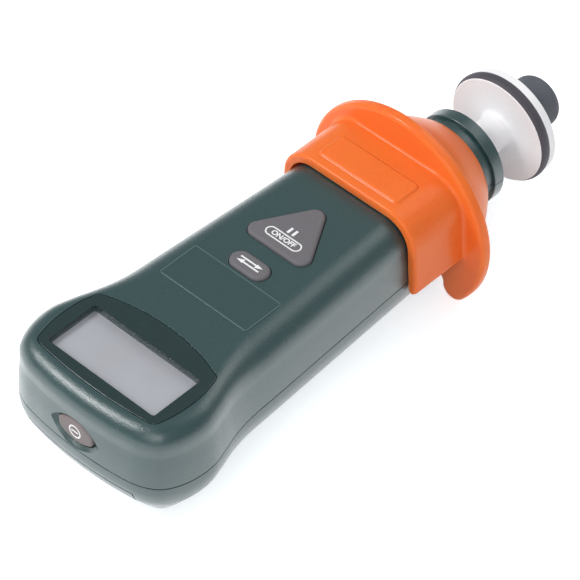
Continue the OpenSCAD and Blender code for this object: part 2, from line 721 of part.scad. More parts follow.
// Plate across the cells' display ends, standing on the edge of the board
module cell_link() color("#c8c2a8") placed() {
    block([-cell_x - nub_r, board_y, cell_z - nub_r], [cell_x + nub_r, board_y + link_t, board_bottom]);
}
module cell_contacts() color("#c8c2a8") placed() {
    for (s = [-1, 1]) {
        block([s * cell_x - contact_half, bay_end - contact_t, cell_z - contact_half],
            [s * cell_x + contact_half, bay_end, cell_z + contact_half]);
        along(cell_y + cell_l + seat_gap, bay_end - contact_t + eps)
            translate([s * cell_x, cell_z]) circle(nub_r);
    }
}
module battery_leads() color("#b23a32") placed() {
    for (s = [-1, 1]) translate([s * cell_x, bay_end - contact_t - lead_r, cell_z + 2.4])
        cylinder(r = lead_r, h = board_bottom - cell_z - 2.4);
}
module case_screws() color("#9a9da2") placed() {
    for (p = screw_places) translate([p.x, p.y, screw_seat]) {
        translate([0, 0, -screw_head_h]) cylinder(r = screw_head_r, h = screw_head_h);
        cylinder(r = screw_r, h = screw_tip - screw_seat);
    }
}
module board_screws() color("#9a9da2") placed() {
    for (p = board_screw_places) translate([p.x, p.y, board_bottom - board_screw_head_h]) {
        cylinder(r = board_screw_head_r, h = board_screw_head_h);
        cylinder(r = board_screw_r, h = board_screw_tip - board_bottom + board_screw_head_h);
    }
}

front_shell();
rear_shell();
battery_door();
display_lens();
display_panel();
display_frame();
contact_strip();
label_plate();
circuit_board();
processor_chip();
hold_key();
unit_key();
end_button();
hold_switch();
unit_switch();
end_switch();
contact_guard();
drive_shaft();
front_bearing();
rear_bearing();
bearing_spacer();
shaft_clip();
encoder_disc();
optical_sensor();
contact_wheel();
wheel_tyre();
rubber_tip();
left_cell();
right_cell();
cell_link();
cell_contacts();
battery_leads();
case_screws();
board_screws();
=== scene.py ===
import math

import bmesh
import bpy
import numpy as np
from mathutils import Matrix, Vector


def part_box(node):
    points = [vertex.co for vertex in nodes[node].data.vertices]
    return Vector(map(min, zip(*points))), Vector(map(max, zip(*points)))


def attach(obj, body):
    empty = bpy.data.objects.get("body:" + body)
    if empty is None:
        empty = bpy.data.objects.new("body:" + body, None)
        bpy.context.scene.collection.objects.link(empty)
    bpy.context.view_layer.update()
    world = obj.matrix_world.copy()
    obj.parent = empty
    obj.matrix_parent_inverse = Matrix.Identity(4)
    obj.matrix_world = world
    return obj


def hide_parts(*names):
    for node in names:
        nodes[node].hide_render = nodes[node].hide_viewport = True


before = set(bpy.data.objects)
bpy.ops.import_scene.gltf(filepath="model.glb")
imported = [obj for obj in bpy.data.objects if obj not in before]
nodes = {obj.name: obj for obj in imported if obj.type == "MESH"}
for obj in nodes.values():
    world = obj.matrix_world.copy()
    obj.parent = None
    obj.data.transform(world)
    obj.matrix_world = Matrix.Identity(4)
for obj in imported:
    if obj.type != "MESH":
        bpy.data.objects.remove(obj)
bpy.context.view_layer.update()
scene = bpy.context.scene
scene.view_settings.view_transform = "Standard"
print("frame loaded,", len(nodes), "nodes")

# Pieces are drawn in millimetres from the display end, with the shaft axis at height 0
layout = {"shift": (0, -83.8, 20.0), "unit": 0.001}


def placed(points):
    return (np.asarray(points, float) + np.array(layout["shift"])) * layout["unit"]


def linked(name, data):
    obj = bpy.data.objects.new(name, data)
    scene.collection.objects.link(obj)
    return obj


# Camera at the photograph's viewing angle
cameraView = {
    "target": (0.001644, -0.012078, 0.020),
    "azimuth": 43.348,
    "elevation": 46.035,
    "roll": 0.349,
    "distance": 0.91749,
    "lens": 233.73,
    "sensor": 36,
    "shiftY": 0.0039,
}


def makeCamera(v):
    a, e, r = (math.radians(v[k]) for k in ("azimuth", "elevation", "roll"))
    back = Vector((math.sin(a) * math.cos(e), -math.cos(a) * math.cos(e), math.sin(e)))
    right = Vector((math.cos(a), math.sin(a), 0))
    up = back.cross(right)
    across = math.cos(r) * right + math.sin(r) * up
    above = -math.sin(r) * right + math.cos(r) * up
    data = bpy.data.cameras.new("viewCamera")
    data.lens, data.sensor_width, data.shift_y = v["lens"], v["sensor"], v["shiftY"]
    data.clip_start, data.clip_end = 0.01, 20
    cam = linked("viewCamera", data)
    turn = Matrix((across, above, back)).transposed().to_4x4()
    cam.matrix_world = Matrix.Translation(Vector(v["target"]) + back * v["distance"]) @ turn
    scene.camera = cam


makeCamera(cameraView)
print("camera set")


# Node helpers for the finishes
def srgb(r, g, b):
    def one(c):
        c /= 255
        return c / 12.92 if c <= 0.04045 else ((c + 0.055) / 1.055) ** 2.4
    return (one(r), one(g), one(b), 1)


class Finish:
    def __init__(self, name):
        self.mat = bpy.data.materials.new(name)
        self.mat.use_nodes = True
        self.tree = self.mat.node_tree
        self.shader = self.tree.nodes["Principled BSDF"]
        self.coords = self.add("ShaderNodeTexCoord").outputs["Object"]

    def add(self, kind, **values):
        node = self.tree.nodes.new(kind)
        for key, value in values.items():
            setattr(node, key, value)
        return node

    def link(self, a, b):
        self.tree.links.new(a, b)

    def noise(self, scale, detail=3, rough=0.5):
        node = self.add("ShaderNodeTexNoise")
        self.link(self.coords, node.inputs["Vector"])
        node.inputs["Scale"].default_value = scale
        node.inputs["Detail"].default_value = detail
        node.inputs["Roughness"].default_value = rough
        return node.outputs["Fac"]

    def spread(self, source, low, high, fromLow=0.3, fromHigh=0.7):
        node = self.add("ShaderNodeMapRange")
        self.link(source, node.inputs["Value"])
        for key, value in (("From Min", fromLow), ("From Max", fromHigh), ("To Min", low), ("To Max", high)):
            node.inputs[key].default_value = value
        return node.outputs["Result"]

    def feed(self, sockets, values):  # each socket gets a link or a plain value
        for socket, value in zip(sockets, values):
            if hasattr(value, "is_linked"):
                self.link(value, socket)
            else:
                socket.default_value = value

    def blend(self, factor, a, b):
        node = self.add("ShaderNodeMix", data_type="RGBA")
        self.link(factor, node.inputs[0])
        self.feed(node.inputs[6:8], (a, b))
        return node.outputs[2]

    def shades(self, source, a, b):  # from one shade to the other along a texture
        return self.blend(self.spread(source, 0, 1), srgb(*a), srgb(*b))

    def math(self, operation, *values):
        node = self.add("ShaderNodeMath", operation=operation)
        self.feed(node.inputs, values)
        return node.outputs[0]

    def axes(self):
        node = self.add("ShaderNodeSeparateXYZ")
        self.link(self.coords, node.inputs[0])
        return node.outputs

    def bump(self, height, strength, distance):
        node = self.add("ShaderNodeBump")
        node.inputs["Strength"].default_value = strength
        node.inputs["Distance"].default_value = distance
        self.link(height, node.inputs["Height"])
        for socket in ("Normal", "Coat Normal"):
            self.link(node.outputs["Normal"], self.shader.inputs[socket])

    def paint(self, colour, rough):
        self.link(colour, self.shader.inputs["Base Color"])
        self.link(rough, self.shader.inputs["Roughness"])

    def setTo(self, **values):
        names = {"specular": "Specular IOR Level", "coat": "Coat Weight", "coatRough": "Coat Roughness",
                 "metal": "Metallic", "alpha": "Alpha", "ior": "IOR", "inside": "Subsurface Weight",
                 "insideRadius": "Subsurface Radius", "insideScale": "Subsurface Scale"}
        for key, value in values.items():
            self.shader.inputs[names[key]].default_value = value


# One moulded or rubber finish: two near shades, slow drift, fine grain in bump and roughness
def mouldedFinish(name, f):
    m = Finish(name)
    grain = m.noise(f["grain"], 2, 0.55)
    drift = m.noise(f["drift"], 2, 0.4)
    fine = m.shades(grain, f["shadeA"], f["shadeB"])
    tone = m.blend(m.spread(drift, 0, f["driftAmount"]), fine, srgb(*f["driftShade"]))
    m.paint(tone, m.spread(grain, *f["rough"]))
    m.bump(grain, f["bump"], f["bumpDepth"])
    m.setTo(**f.get("shader", {}))
    return m.mat


caseFinish = mouldedFinish("case_green_plastic", {
    "shadeA": (5, 52, 53), "shadeB": (14, 62, 63), "driftShade": (10, 57, 61), "driftAmount": 0.5,
    "grain": 2800, "drift": 60, "rough": (0.34, 0.48), "bump": 0.9, "bumpDepth": 0.00008,
    "shader": {"ior": 1.6, "coat": 0.95, "coatRough": 0.24}})
guardFinish = mouldedFinish("guard_orange_plastic", {
    "shadeA": (242, 110, 44), "shadeB": (248, 121, 54), "driftShade": (246, 128, 50), "driftAmount": 0.6,
    "grain": 2400, "drift": 70, "rough": (0.3, 0.4), "bump": 0.06, "bumpDepth": 0.00006,
    "shader": {"ior": 1.45, "specular": 0.2, "coat": 0.15, "coatRough": 0.12,
               "inside": 0.4, "insideRadius": (1.0, 0.4, 0.15), "insideScale": 0.004}})
lensFinish = mouldedFinish("lens_dark_gloss", {
    "shadeA": (24, 46, 47), "shadeB": (28, 51, 51), "driftShade": (30, 50, 52), "driftAmount": 0.6,
    "grain": 900, "drift": 90, "rough": (0.08, 0.14), "bump": 0.02, "bumpDepth": 0.00004,
    "shader": {"specular": 0.6}})
keyFinish = mouldedFinish("key_grey_rubber", {
    "shadeA": (100, 98, 102), "shadeB": (116, 113, 117), "driftShade": (111, 107, 110), "driftAmount": 0.5,
    "grain": 3800, "drift": 220, "rough": (0.55, 0.7), "bump": 0.2, "bumpDepth": 0.00008,
    "shader": {"specular": 0.4}})
endFinish = mouldedFinish("end_grey_rubber", {
    "shadeA": (112, 105, 106), "shadeB": (126, 120, 121), "driftShade": (134, 118, 114), "driftAmount": 0.6,
    "grain": 3400, "drift": 200, "rough": (0.5, 0.66), "bump": 0.2, "bumpDepth": 0.00008,
    "shader": {"specular": 0.45}})
wheelFinish = mouldedFinish("wheel_white_plastic", {
    "shadeA": (247, 246, 249), "shadeB": (251, 251, 253), "driftShade": (249, 245, 245), "driftAmount": 0.4,
    "grain": 1500, "drift": 120, "rough": (0.36, 0.48), "bump": 0.05, "bumpDepth": 0.00006,
    "shader": {"specular": 0.5}})
tyreFinish = mouldedFinish("tyre_dark_rubber", {
    "shadeA": (64, 61, 69), "shadeB": (80, 77, 85), "driftShade": (72, 68, 77), "driftAmount": 0.6,
    "grain": 3200, "drift": 150, "rough": (0.5, 0.66), "bump": 0.16, "bumpDepth": 0.00008,
    "shader": {"specular": 0.5}})
tipFinish = mouldedFinish("tip_black_rubber", {
    "shadeA": (84, 86, 93), "shadeB": (100, 103, 110), "driftShade": (90, 95, 102), "driftAmount": 0.6,
    "grain": 3000, "drift": 150, "rough": (0.62, 0.78), "bump": 0.3, "bumpDepth": 0.0001,
    "shader": {"specular": 0.4}})
frameFinish = mouldedFinish("frame_ivory_plastic", {
    "shadeA": (226, 222, 210), "shadeB": (236, 233, 224), "driftShade": (228, 222, 206), "driftAmount": 0.5,
    "grain": 2000, "drift": 100, "rough": (0.45, 0.6), "bump": 0.1, "bumpDepth": 0.00006})
chipFinish = mouldedFinish("chip_black_resin", {
    "shadeA": (28, 29, 32), "shadeB": (42, 43, 46), "driftShade": (36, 36, 38), "driftAmount": 0.5,
    "grain": 5000, "drift": 300, "rough": (0.5, 0.7), "bump": 0.3, "bumpDepth": 0.00006})
jacketFinish = mouldedFinish("cell_jacket_film", {
    "shadeA": (52, 66, 112), "shadeB": (60, 76, 126), "driftShade": (66, 82, 130), "driftAmount": 0.6,
    "grain": 900, "drift": 140, "rough": (0.25, 0.36), "bump": 0.04, "bumpDepth": 0.00005,
    "shader": {"coat": 0.3}})
leadFinish = mouldedFinish("lead_red_vinyl", {
    "shadeA": (168, 50, 42), "shadeB": (184, 62, 52), "driftShade": (176, 54, 50), "driftAmount": 0.5,
    "grain": 2500, "drift": 200, "rough": (0.4, 0.52), "bump": 0.08, "bumpDepth": 0.00005})
steelLook = {
    "shadeA": (176, 176, 178), "shadeB": (204, 203, 202), "driftShade": (190, 188, 184), "driftAmount": 0.6,
    "grain": 1400, "drift": 160, "rough": (0.24, 0.4), "bump": 0.06, "bumpDepth": 0.00004,
    "shader": {"metal": 1}}
shaftFinish = mouldedFinish("shaft_ground_steel", steelLook)
bearingFinish = mouldedFinish("bearing_steel", {
    **steelLook, "shadeA": (160, 164, 170), "shadeB": (188, 191, 196)})
screwFinish = mouldedFinish("screw_steel", {
    **steelLook, "shadeA": (120, 122, 126), "shadeB": (168, 170, 174), "rough": (0.3, 0.5)})
contactFinish = mouldedFinish("contact_nickel", {
    **steelLook, "shadeA": (186, 178, 150), "shadeB": (212, 206, 184)})
paintFinish = mouldedFinish("legend_white_paint", {
    "shadeA": (236, 236, 238), "shadeB": (246, 246, 247), "driftShade": (240, 240, 243), "driftAmount": 0.5,
    "grain": 4000, "drift": 300, "rough": (0.45, 0.6), "bump": 0.1, "bumpDepth": 0.00003})


# Blank display: pale grey with a faint lattice, and painted shade: a slow fall of tone that darkens towards the
# far edge of the window
def displayFinishMade(f):
    m = Finish("display_grey_film")
    x, y = m.axes()[:2]
    wave = m.math("ADD", *(m.math("SINE", m.math("MULTIPLY", way, f["lattice"])) for way in (x, y)))
    # painted shade: the film goes from the near shade to the darker far shade across the window
    fall = m.spread(y, 0, 1, *f["paintedShadeFrom"])
    base = m.blend(fall, srgb(*f["near"]), srgb(*f["far"]))
    drift = m.spread(m.noise(f["drift"], 2), 0, f["driftAmount"])
    tone = m.blend(drift, base, srgb(*f["warm"]))
    m.paint(tone, m.spread(wave, *f["rough"], *f["waveSpan"]))
    m.bump(wave, f["bump"], f["bumpDepth"])
    return m.mat


# the far shade is painted shade along the window's far edge, and the span where it falls is given in metres
# along the part
displayFinish = displayFinishMade({
    "near": (194, 198, 204), "far": (186, 187, 194), "warm": (176, 170, 176), "lattice": 9000, "drift": 60,
    "driftAmount": 0.35, "paintedShadeFrom": (-0.0745, -0.0589), "rough": (0.32, 0.4), "waveSpan": (-2, 2),
    "bump": 0.02, "bumpDepth": 0.00002})


# Bare label: the case's own shade in a smoother film, with a thin paler line round its edge
def labelFinishMade(f):
    m = Finish("label_bare_film")
    x, y = m.axes()[:2]
    lo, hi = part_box("label_plate")
    centre, half = (lo + hi) / 2, (hi - lo) / 2
    dx, dy = (m.math("SUBTRACT", reach, m.math("ABSOLUTE", m.math("SUBTRACT", way, mid)))
              for way, mid, reach in ((x, centre.x, half.x), (y, centre.y, half.y)))
    edge = m.spread(m.math("MINIMUM", dx, dy), 1, 0, f["line"] * 0.5, f["line"])
    grain = m.noise(f["grain"], 2)
    tone = m.shades(grain, f["shadeA"], f["shadeB"])
    m.paint(m.blend(edge, tone, srgb(*f["lineShade"])), m.spread(grain, *f["rough"]))
    m.bump(grain, f["bump"], f["bumpDepth"])
    m.setTo(**f["shader"])
    return m.mat


labelFinish = labelFinishMade({
    "shadeA": (8, 54, 55), "shadeB": (15, 61, 62), "lineShade": (84, 110, 110), "line": 0.00026, "grain": 3000,
    "rough": (0.36, 0.46), "bump": 0.2, "bumpDepth": 0.00006,
    "shader": {"ior": 1.6, "coat": 0.95, "coatRough": 0.24}})


# Clear pane of the window: plain low alpha, so that the export keeps it
def paneFinishMade(f):
    m = Finish("window_clear")
    haze = m.noise(f["haze"], 2)
    tone = m.shades(haze, f["shadeA"], f["shadeB"])
    m.paint(tone, m.spread(haze, *f["rough"]))
    m.setTo(**f["shader"])
    return m.mat


paneFinish = paneFinishMade({
    "shadeA": (70, 76, 80), "shadeB": (82, 88, 92), "haze": 120, "rough": (0.03, 0.07),
    "shader": {"alpha": 0.06, "specular": 0.5}})


# Circuit board: solder mask with a lattice of copper tracks showing through
def boardFinishMade(f):
    m = Finish("board_green_mask")
    wander = m.math("MULTIPLY", m.noise(f["wander"], 0), f["wanderAmount"])
    stripes = m.math("SINE", m.math("MULTIPLY", m.math("ADD", m.axes()[0], wander), f["tracks"]))
    grain = m.noise(f["grain"], 2)
    mask = m.shades(grain, f["maskA"], f["maskB"])
    tone = m.blend(m.spread(stripes, 0, f["trackShare"], *f["trackFrom"]), mask, srgb(*f["track"]))
    m.paint(tone, m.spread(grain, *f["rough"]))
    m.bump(stripes, f["bump"], f["bumpDepth"])
    return m.mat


boardFinish = boardFinishMade({
    "maskA": (28, 84, 54), "maskB": (34, 96, 62), "track": (62, 126, 84), "tracks": 3600, "trackShare": 0.5,
    "trackFrom": (0.5, 0.7), "wander": 90, "wanderAmount": 0.004, "grain": 2600, "rough": (0.3, 0.42),
    "bump": 0.1, "bumpDepth": 0.00004})
print("finishes made")


# Mesh helpers
def tidyMesh(obj):
    bm = bmesh.new()
    bm.from_mesh(obj.data)
    bmesh.ops.remove_doubles(bm, verts=bm.verts, dist=2e-7)
    bmesh.ops.dissolve_degenerate(bm, edges=bm.edges, dist=1e-7)
    bmesh.ops.recalc_face_normals(bm, faces=bm.faces)
    bm.to_mesh(obj.data)
    bm.free()


def meshObject(name, points, faces):
    mesh = bpy.data.meshes.new(name)
    mesh.from_pydata(placed(points).tolist(), [], [[int(i) for i in f] for f in faces])
    obj = linked(name, mesh)
    tidyMesh(obj)
    return obj


def loft(name, rings):  # closed rings of one size, joined in turn and capped at both ends
    n = len(rings[0])
    faces = [(r * n + i, r * n + (i + 1) % n, (r + 1) * n + (i + 1) % n, (r + 1) * n + i)
             for r in range(len(rings) - 1) for i in range(n)]
    faces += [range(n), range((len(rings) - 1) * n, len(rings) * n)]
    return meshObject(name, np.concatenate([np.asarray(r, float) for r in rings]), faces)


def turned(name, profile, steps=128):  # closed outline of radius and place, turned about the shaft axis
    n = len(profile)
    angles = [2 * math.pi * k / steps for k in range(steps)]
    points = [(r * math.cos(a), y, r * math.sin(a)) for a in angles for r, y in profile]
    faces = [(k * n + i, k * n + (i + 1) % n, (k + 1) % steps * n + (i + 1) % n, (k + 1) % steps * n + i)
             for k in range(steps) for i in range(n) if profile[i][0] + profile[(i + 1) % n][0] > 1e-9]
    return meshObject(name, points, faces)


def block(name, low, high):
    (a, b, c), (d, e, f) = low, high
    return loft(name, [[(a, b, z), (d, b, z), (d, e, z), (a, e, z)] for z in (c, f)])


def level(loop, z):  # flat outline in X and Y at a height
    return [(x, y, z) for x, y in loop]


def upright(loop, y):  # outline in X and Z at a place along the part
    return [(x, y, z) for x, z in loop]


def circleLoop(x, y, radius, steps=32):
    return [(x + radius * math.cos(2 * math.pi * k / steps), y + radius * math.sin(2 * math.pi * k / steps))
            for k in range(steps)]


def posts(name, places, radius, low, high, steps=32):
    made = [loft(name + str(i), [level(circleLoop(x, y, radius, steps), z) for z in (low, high)])
            for i, (x, y) in enumerate(places)]
    return joined(name, made)


def joined(name, objs):
    bm = bmesh.new()
    for o in objs:
        bm.from_mesh(o.data)
        bpy.data.objects.remove(o)
    mesh = bpy.data.meshes.new(name)
    bm.to_mesh(mesh)
    bm.free()
    return linked(name, mesh)


def evaluated(obj):  # the mesh that an object's modifiers or curve make
    return bpy.data.meshes.new_from_object(obj.evaluated_get(bpy.context.evaluated_depsgraph_get()))


def shaped(target, tool, how):  # DIFFERENCE, UNION or INTERSECT with a tool, which is used up
    step = target.modifiers.new("shape", "BOOLEAN")
    step.operation, step.solver, step.object = how, "EXACT", tool
    made = evaluated(target)
    target.modifiers.clear()
    target.data = made
    bpy.data.objects.remove(tool)
    return target


def finishPiece(obj, finish, body, stoodFor=(), angle=34):
    mesh = obj.data
    mesh.materials.clear()
    mesh.materials.append(finish)
    mesh.polygons.foreach_set("material_index", [0] * len(mesh.polygons))
    mesh.shade_smooth()
    mesh.set_sharp_from_angle(angle=math.radians(angle))
    even = obj.modifiers.new("evenNormals", "WEIGHTED_NORMAL")
    even.keep_sharp = True
    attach(obj, body)
    if stoodFor:
        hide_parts(*stoodFor)
    return obj


def edgeAngle(a, b):
    return math.degrees(math.atan2(a[0] - b[0], b[1] - a[1]))


def roundedLoop(centres, radius, steps=10):  # outline around corner centres that run anticlockwise
    n, loop = len(centres), []
    for i in range(n):
        before, here, after = centres[i - 1], centres[i], centres[(i + 1) % n]
        start = edgeAngle(before, here)
        turn = (edgeAngle(here, after) - start) % 360
        count = steps if turn > 20 else 1
        for k in range(count + 1):
            a = math.radians(start + turn * k / count)
            loop.append((here[0] + radius * math.cos(a), here[1] + radius * math.sin(a)))
    return loop


def boxCentres(w, l, y, r):
    return [(-w / 2 + r, y + r), (w / 2 - r, y + r), (w / 2 - r, y + l - r), (-w / 2 + r, y + l - r)]


def bowed(a, b, rise, steps=16):
    a, b = np.array(a, float), np.array(b, float)
    d = b - a
    out = np.array([d[1], -d[0]]) / np.linalg.norm(d)
    return [tuple(a + d * t + out * 4 * rise * t * (1 - t)) for t in (k / steps for k in range(steps))]


def insetLoop(loop, amount):  # each point moved inwards along the outline's own normal
    p = np.asarray(loop, float)
    d = np.roll(p, -1, 0) - np.roll(p, 1, 0)
    out = np.column_stack([d[:, 1], -d[:, 0]]) / np.linalg.norm(d, axis=1)[:, None]
    return [tuple(q) for q in p - out * amount]


def quarter(steps):
    return [math.pi / 2 * k / steps for k in range(steps + 1)]


def edgeSteps(radius, steps):  # how far a rounded edge stands back from its two faces, step by step
    return [(radius * (1 - math.cos(a)), radius * (1 - math.sin(a))) for a in quarter(steps)]


# Case: the two halves are one outline drawn in along a section, as in the solids
case = {
    "length": 111.5, "headHalf": 27.7, "waistHalf": 23.5, "gripHalf": 20.1, "waistAt": 36, "gripAt": 94,
    "top": 17, "back": 20, "wall": 2, "headEdge": 5, "gripEdge": 7.6, "gap": 0.1, "draft": 0.8, "shoulder": 8,
    "squareInset": 6, "squareRoom": 2, "easeFrom": 0.7, "easeOver": 0.5, "perKnot": 8, "rearPerKnot": 4,
    "knotStep": 10, "lastKnot": 6, "edgeSteps": 18, "lineSoft": 0.16, "softShare": 0.3, "innerLip": 0.2,
    "clear": 2,
}


def smoothPoint(p, q, r, s, t):  # a point from q to r on the curve through all four
    return 0.5 * (2 * q + (r - p) * t + (2 * p - 5 * q + 4 * r - s) * t ** 2
                  + (3 * q - p - 3 * r + s) * t ** 3)


def gripHalfAt(y):
    c = case
    slope = (c["waistHalf"] - c["gripHalf"]) / (c["gripAt"] - c["waistAt"])
    return c["waistHalf"] - slope * (y - c["waistAt"])


def caseOutline():  # knots of one side from the display end to the neck, then the other side
    c, h, w, e = case, case["headHalf"], case["waistHalf"], case["length"]
    bend, step = e - c["shoulder"], c["knotStep"]
    knots = [(0, 0), (h * 0.24, 0.2), (h * 0.47, 0.8), (h - 8.6, 2), (h - 3.9, 4.7), (h - 1.3, 9),
             (h - 0.1, 14), (h - 0.1, 19), (h - 1.4, 24), ((h + w) / 2 - 1, 29.6), (w, c["waistAt"])]
    knots += [(gripHalfAt(y), y) for y in np.arange(c["waistAt"] + step, bend - c["lastKnot"] + 1e-6, step)]
    knots += [(gripHalfAt(bend), bend), (gripHalfAt(e) - 1.4, e - 3), (gripHalfAt(e) - 5.4, e - 0.4),
              (gripHalfAt(e) / 3, e), (0, e)]
    k = np.array(knots)
    k = np.vstack([k[1] * (-1, 1), k, k[-2] * (-1, 1)])
    side = [smoothPoint(*k[i - 1:i + 3], j / c["perKnot"])
            for i in range(1, len(k) - 2) for j in range(c["perKnot"])]
    side = np.array(side + [k[-2]])
    return np.vstack([side, side[-2:0:-1] * (-1, 1)]), len(side) - 1


outline, sideCount = caseOutline()
step = np.roll(outline, -1, 0) - np.roll(outline, 1, 0)
outward = np.column_stack([step[:, 1], -step[:, 0]]) / np.linalg.norm(step, axis=1)[:, None]
ease = outline[:, 1] - case["waistAt"] * case["easeFrom"]
ease = np.clip(ease / (case["waistAt"] * case["easeOver"]), 0, 1)
gripShare = ease * ease * (3 - 2 * ease)


def caseRing(headInset, z, gripInset):
    inset = headInset + (gripInset - headInset) * gripShare
    square = np.minimum(inset, case["squareInset"])
    rest = inset - square
    p = outline - outward * square[:, None]
    mid = case["length"] / 2
    x = p[:, 0] * (1 - rest / (case["gripHalf"] - case["squareInset"] + case["squareRoom"]))
    y = mid + (p[:, 1] - mid) * (1 - rest / (mid - case["squareInset"]))
    return np.column_stack([x, y, np.full(len(x), z)])


def caseCup(name, outer, inner):
    rings = [caseRing(*s) for s in outer + inner]
    n, count, crown = len(outline), len(outer) + len(inner), len(outer) - 1
    faces = [(r * n + i, (r + 1) % count * n + i, (r + 1) % count * n + (i + 1) % n, r * n + (i + 1) % n)
             for r in range(count) if r != crown for i in range(n)]

    def strip(i):
        left, nextLeft = (n - i) % n, n - i - 1
        if i == 0:
            return [0, nextLeft, 1]
        if i == sideCount - 1:
            return [i, left, sideCount]
        return [i, left, nextLeft, i + 1]
    for i in range(sideCount):
        faces.append([crown * n + k for k in strip(i)])
        faces.append([(crown + 1) * n + k for k in reversed(strip(i))])
    return meshObject(name, np.concatenate(rings), faces)


def filletInset(r, top, z):
    t = (z - top + r) / r
    return 0 if t <= 0 else r * (1 - math.sqrt(max(0, 1 - t * t)))


def frontPoint(z, grow=0):
    c, top = case, case["top"] - grow
    return (c["draft"] + grow + filletInset(c["headEdge"] - grow, top, z), z,
            c["draft"] + grow + filletInset(c["gripEdge"] - grow, top, z))


def frontSections():
    c, soft, lip = case, case["lineSoft"], case["wall"] + case["innerLip"]
    some, rise = soft * c["softShare"], c["top"] - c["gripEdge"]
    outer = [(soft, c["gap"], soft), (some, c["gap"] + some, some), (0.01, c["gap"] + soft, 0.01),
             (0.12, 2.6, 0.12), (0.25, c["top"] * 0.3, 0.25), (0.5, 7.3, 0.5)]
    outer += [frontPoint(rise + c["gripEdge"] * math.sin(a)) for a in quarter(c["edgeSteps"])]
    inner = [frontPoint(rise + (c["gripEdge"] - c["wall"]) * math.sin(math.radians(a)), c["wall"])
             for a in (90, 55, 30, 0)]
    return outer, inner + [(lip, c["gap"], lip)]


def rearSections():
    c, soft, b, w = case, case["lineSoft"], case["back"], case["wall"]
    some = soft * c["softShare"]
    knots = np.array([(0, 0.6), (0.05, 2.7), (0.5, b * 0.25), (1.4, b * 0.36), (3.4, b * 0.5), (6.3, b * 0.7),
                      (8.6, b * 0.86), (10.2, b * 0.95), (12, b)])
    last = len(knots) - 1
    k = np.vstack([2 * knots[0] - knots[1], knots, 2 * knots[-1] - knots[-2]])
    curve = []
    for v in np.linspace(0, last, c["rearPerKnot"] * last + 1):
        i = min(int(v), last - 1)
        curve.append(smoothPoint(*k[i:i + 4], v - i))
    outer = [(soft, -c["gap"], soft), (some, -c["gap"] - some, some)]
    outer += [(max(0, x), -min(z, b), max(0, x)) for x, z in curve]
    inner = [(x, -z, x) for x, z in ((12 + w * 0.8, b - w), (8.6 + w, b * 0.86 - w), (3.4 + w, b * 0.5 - w),
                                     (w + 0.2, b * 0.2), (w + 0.1, c["gap"]))]
    return outer, inner


# Neck: turned once, then split at the parting plane
neck = {"radius": 13.1, "start": 109.5, "end": 137.7, "ring": 3.4, "groove": 2.6, "grooveDepth": 1, "lip": 2,
        "lipRadius": 6.4, "bore": 8, "soft": 0.3, "grooveSoft": 0.15, "room": 1, "steps": 144, "roomSteps": 64}


def neckHalf(name, side):
    v, r, soft, s = neck, neck["radius"], neck["soft"], neck["grooveSoft"]
    ring, floor = v["end"] - v["ring"], r - v["grooveDepth"]
    groove = ring - v["groove"]
    near, far = v["start"] + v["lip"], v["end"] - v["lip"]
    corner = [(r - a, v["end"] - b) for a, b in edgeSteps(soft, 4)]
    lips = [(r - s, groove), (floor, groove + s), (floor, ring - s), (r - s, ring), (r, ring + s)]
    profile = [(v["lipRadius"], v["start"]), (r, v["start"]), (r, groove - s)] + lips + corner
    profile += [(v["lipRadius"], v["end"]), (v["lipRadius"], far), (v["bore"], far), (v["bore"], near),
                (v["lipRadius"], near)]
    whole = turned(name, profile, v["steps"])
    wide, over = 2 * r, v["room"]
    low, high = (case["gap"], wide) if side > 0 else (-wide, -case["gap"])
    half = block(name + "Half", (-wide, v["start"] - over, low), (wide, v["end"] + over, high))
    return shaped(whole, half, "INTERSECT")


def neckRoom(name):
    loop = circleLoop(0, 0, neck["radius"] - neck["room"], neck["roomSteps"])
    return loft(name, [upright(loop, y) for y in (neck["start"] - neck["room"], case["length"] + neck["room"])])


# Display opening, its lens and the clear pane
display = {"width": 42.6, "length": 21.6, "start": 7.2, "round": 2.4, "bowSide": 1.2, "bowEnd": 1.2, "bowTop": 3,
           "thick": 1.2, "windowWidth": 35.2, "windowLength": 15.6, "windowStart": 9.3, "windowRound": 0.8,
           "windowLow": 13.5, "seat": 0.1, "edge": 0.22, "lip": 0.2, "paneGap": 0.1, "paneLow": 0.5,
           "paneTop": 0.1}


def lensLoop(grow=0):
    d = display
    c = boxCentres(d["width"] - 2 * d["bowSide"], d["length"], d["start"], d["round"])
    centres = []
    for i, bow in enumerate(("bowEnd", "bowSide", "bowTop", "bowSide")):
        centres += bowed(c[i], c[(i + 1) % 4], d[bow])
    return roundedLoop(centres, d["round"] + grow, 12)


def windowLoop(grow=0):
    d = display
    return roundedLoop(boxCentres(d["windowWidth"], d["windowLength"], d["windowStart"], d["windowRound"]),
                       d["windowRound"] + grow, 6)


# Keys on the face: outlines shared by the caps, their holes and their marks
holdKey = {"width": 23.2, "length": 19.9, "start": 67.2, "round": 2.6, "gap": 0.3, "top": 17.8,
           "flangeTop": 14.9, "flange": 1.2, "lip": 1, "stem": 1.6, "stemLow": 8.7, "stemShare": 0.4,
           "soft": 1.05, "softShare": 0.8, "lipSoft": 0.16, "swell": 0.13, "holeLow": 14}
unitKey = {"width": 11.4, "length": 5.6, "middle": 59.4}
endKey = {"width": 11.4, "recessWidth": 16.4, "recessHeight": 9, "height": 5.2, "face": 0.6, "gap": 0.3,
          "lipAt": 3.25, "lip": 1, "lipThick": 0.6, "lipLow": 0.4, "stem": 1.3, "stemEnd": 4.65,
          "stemHeight": 6.3, "soft": 0.7, "corner": 0.8, "trim": 1.0, "hole": (0.2, 4.2),
          "scoop": ((0.5, -1), (0.4, 0), (0.2, 0.1), (0, 0.3), (-0.4, 0.8), (-0.8, 1.2), (-1.2, 1.5))}


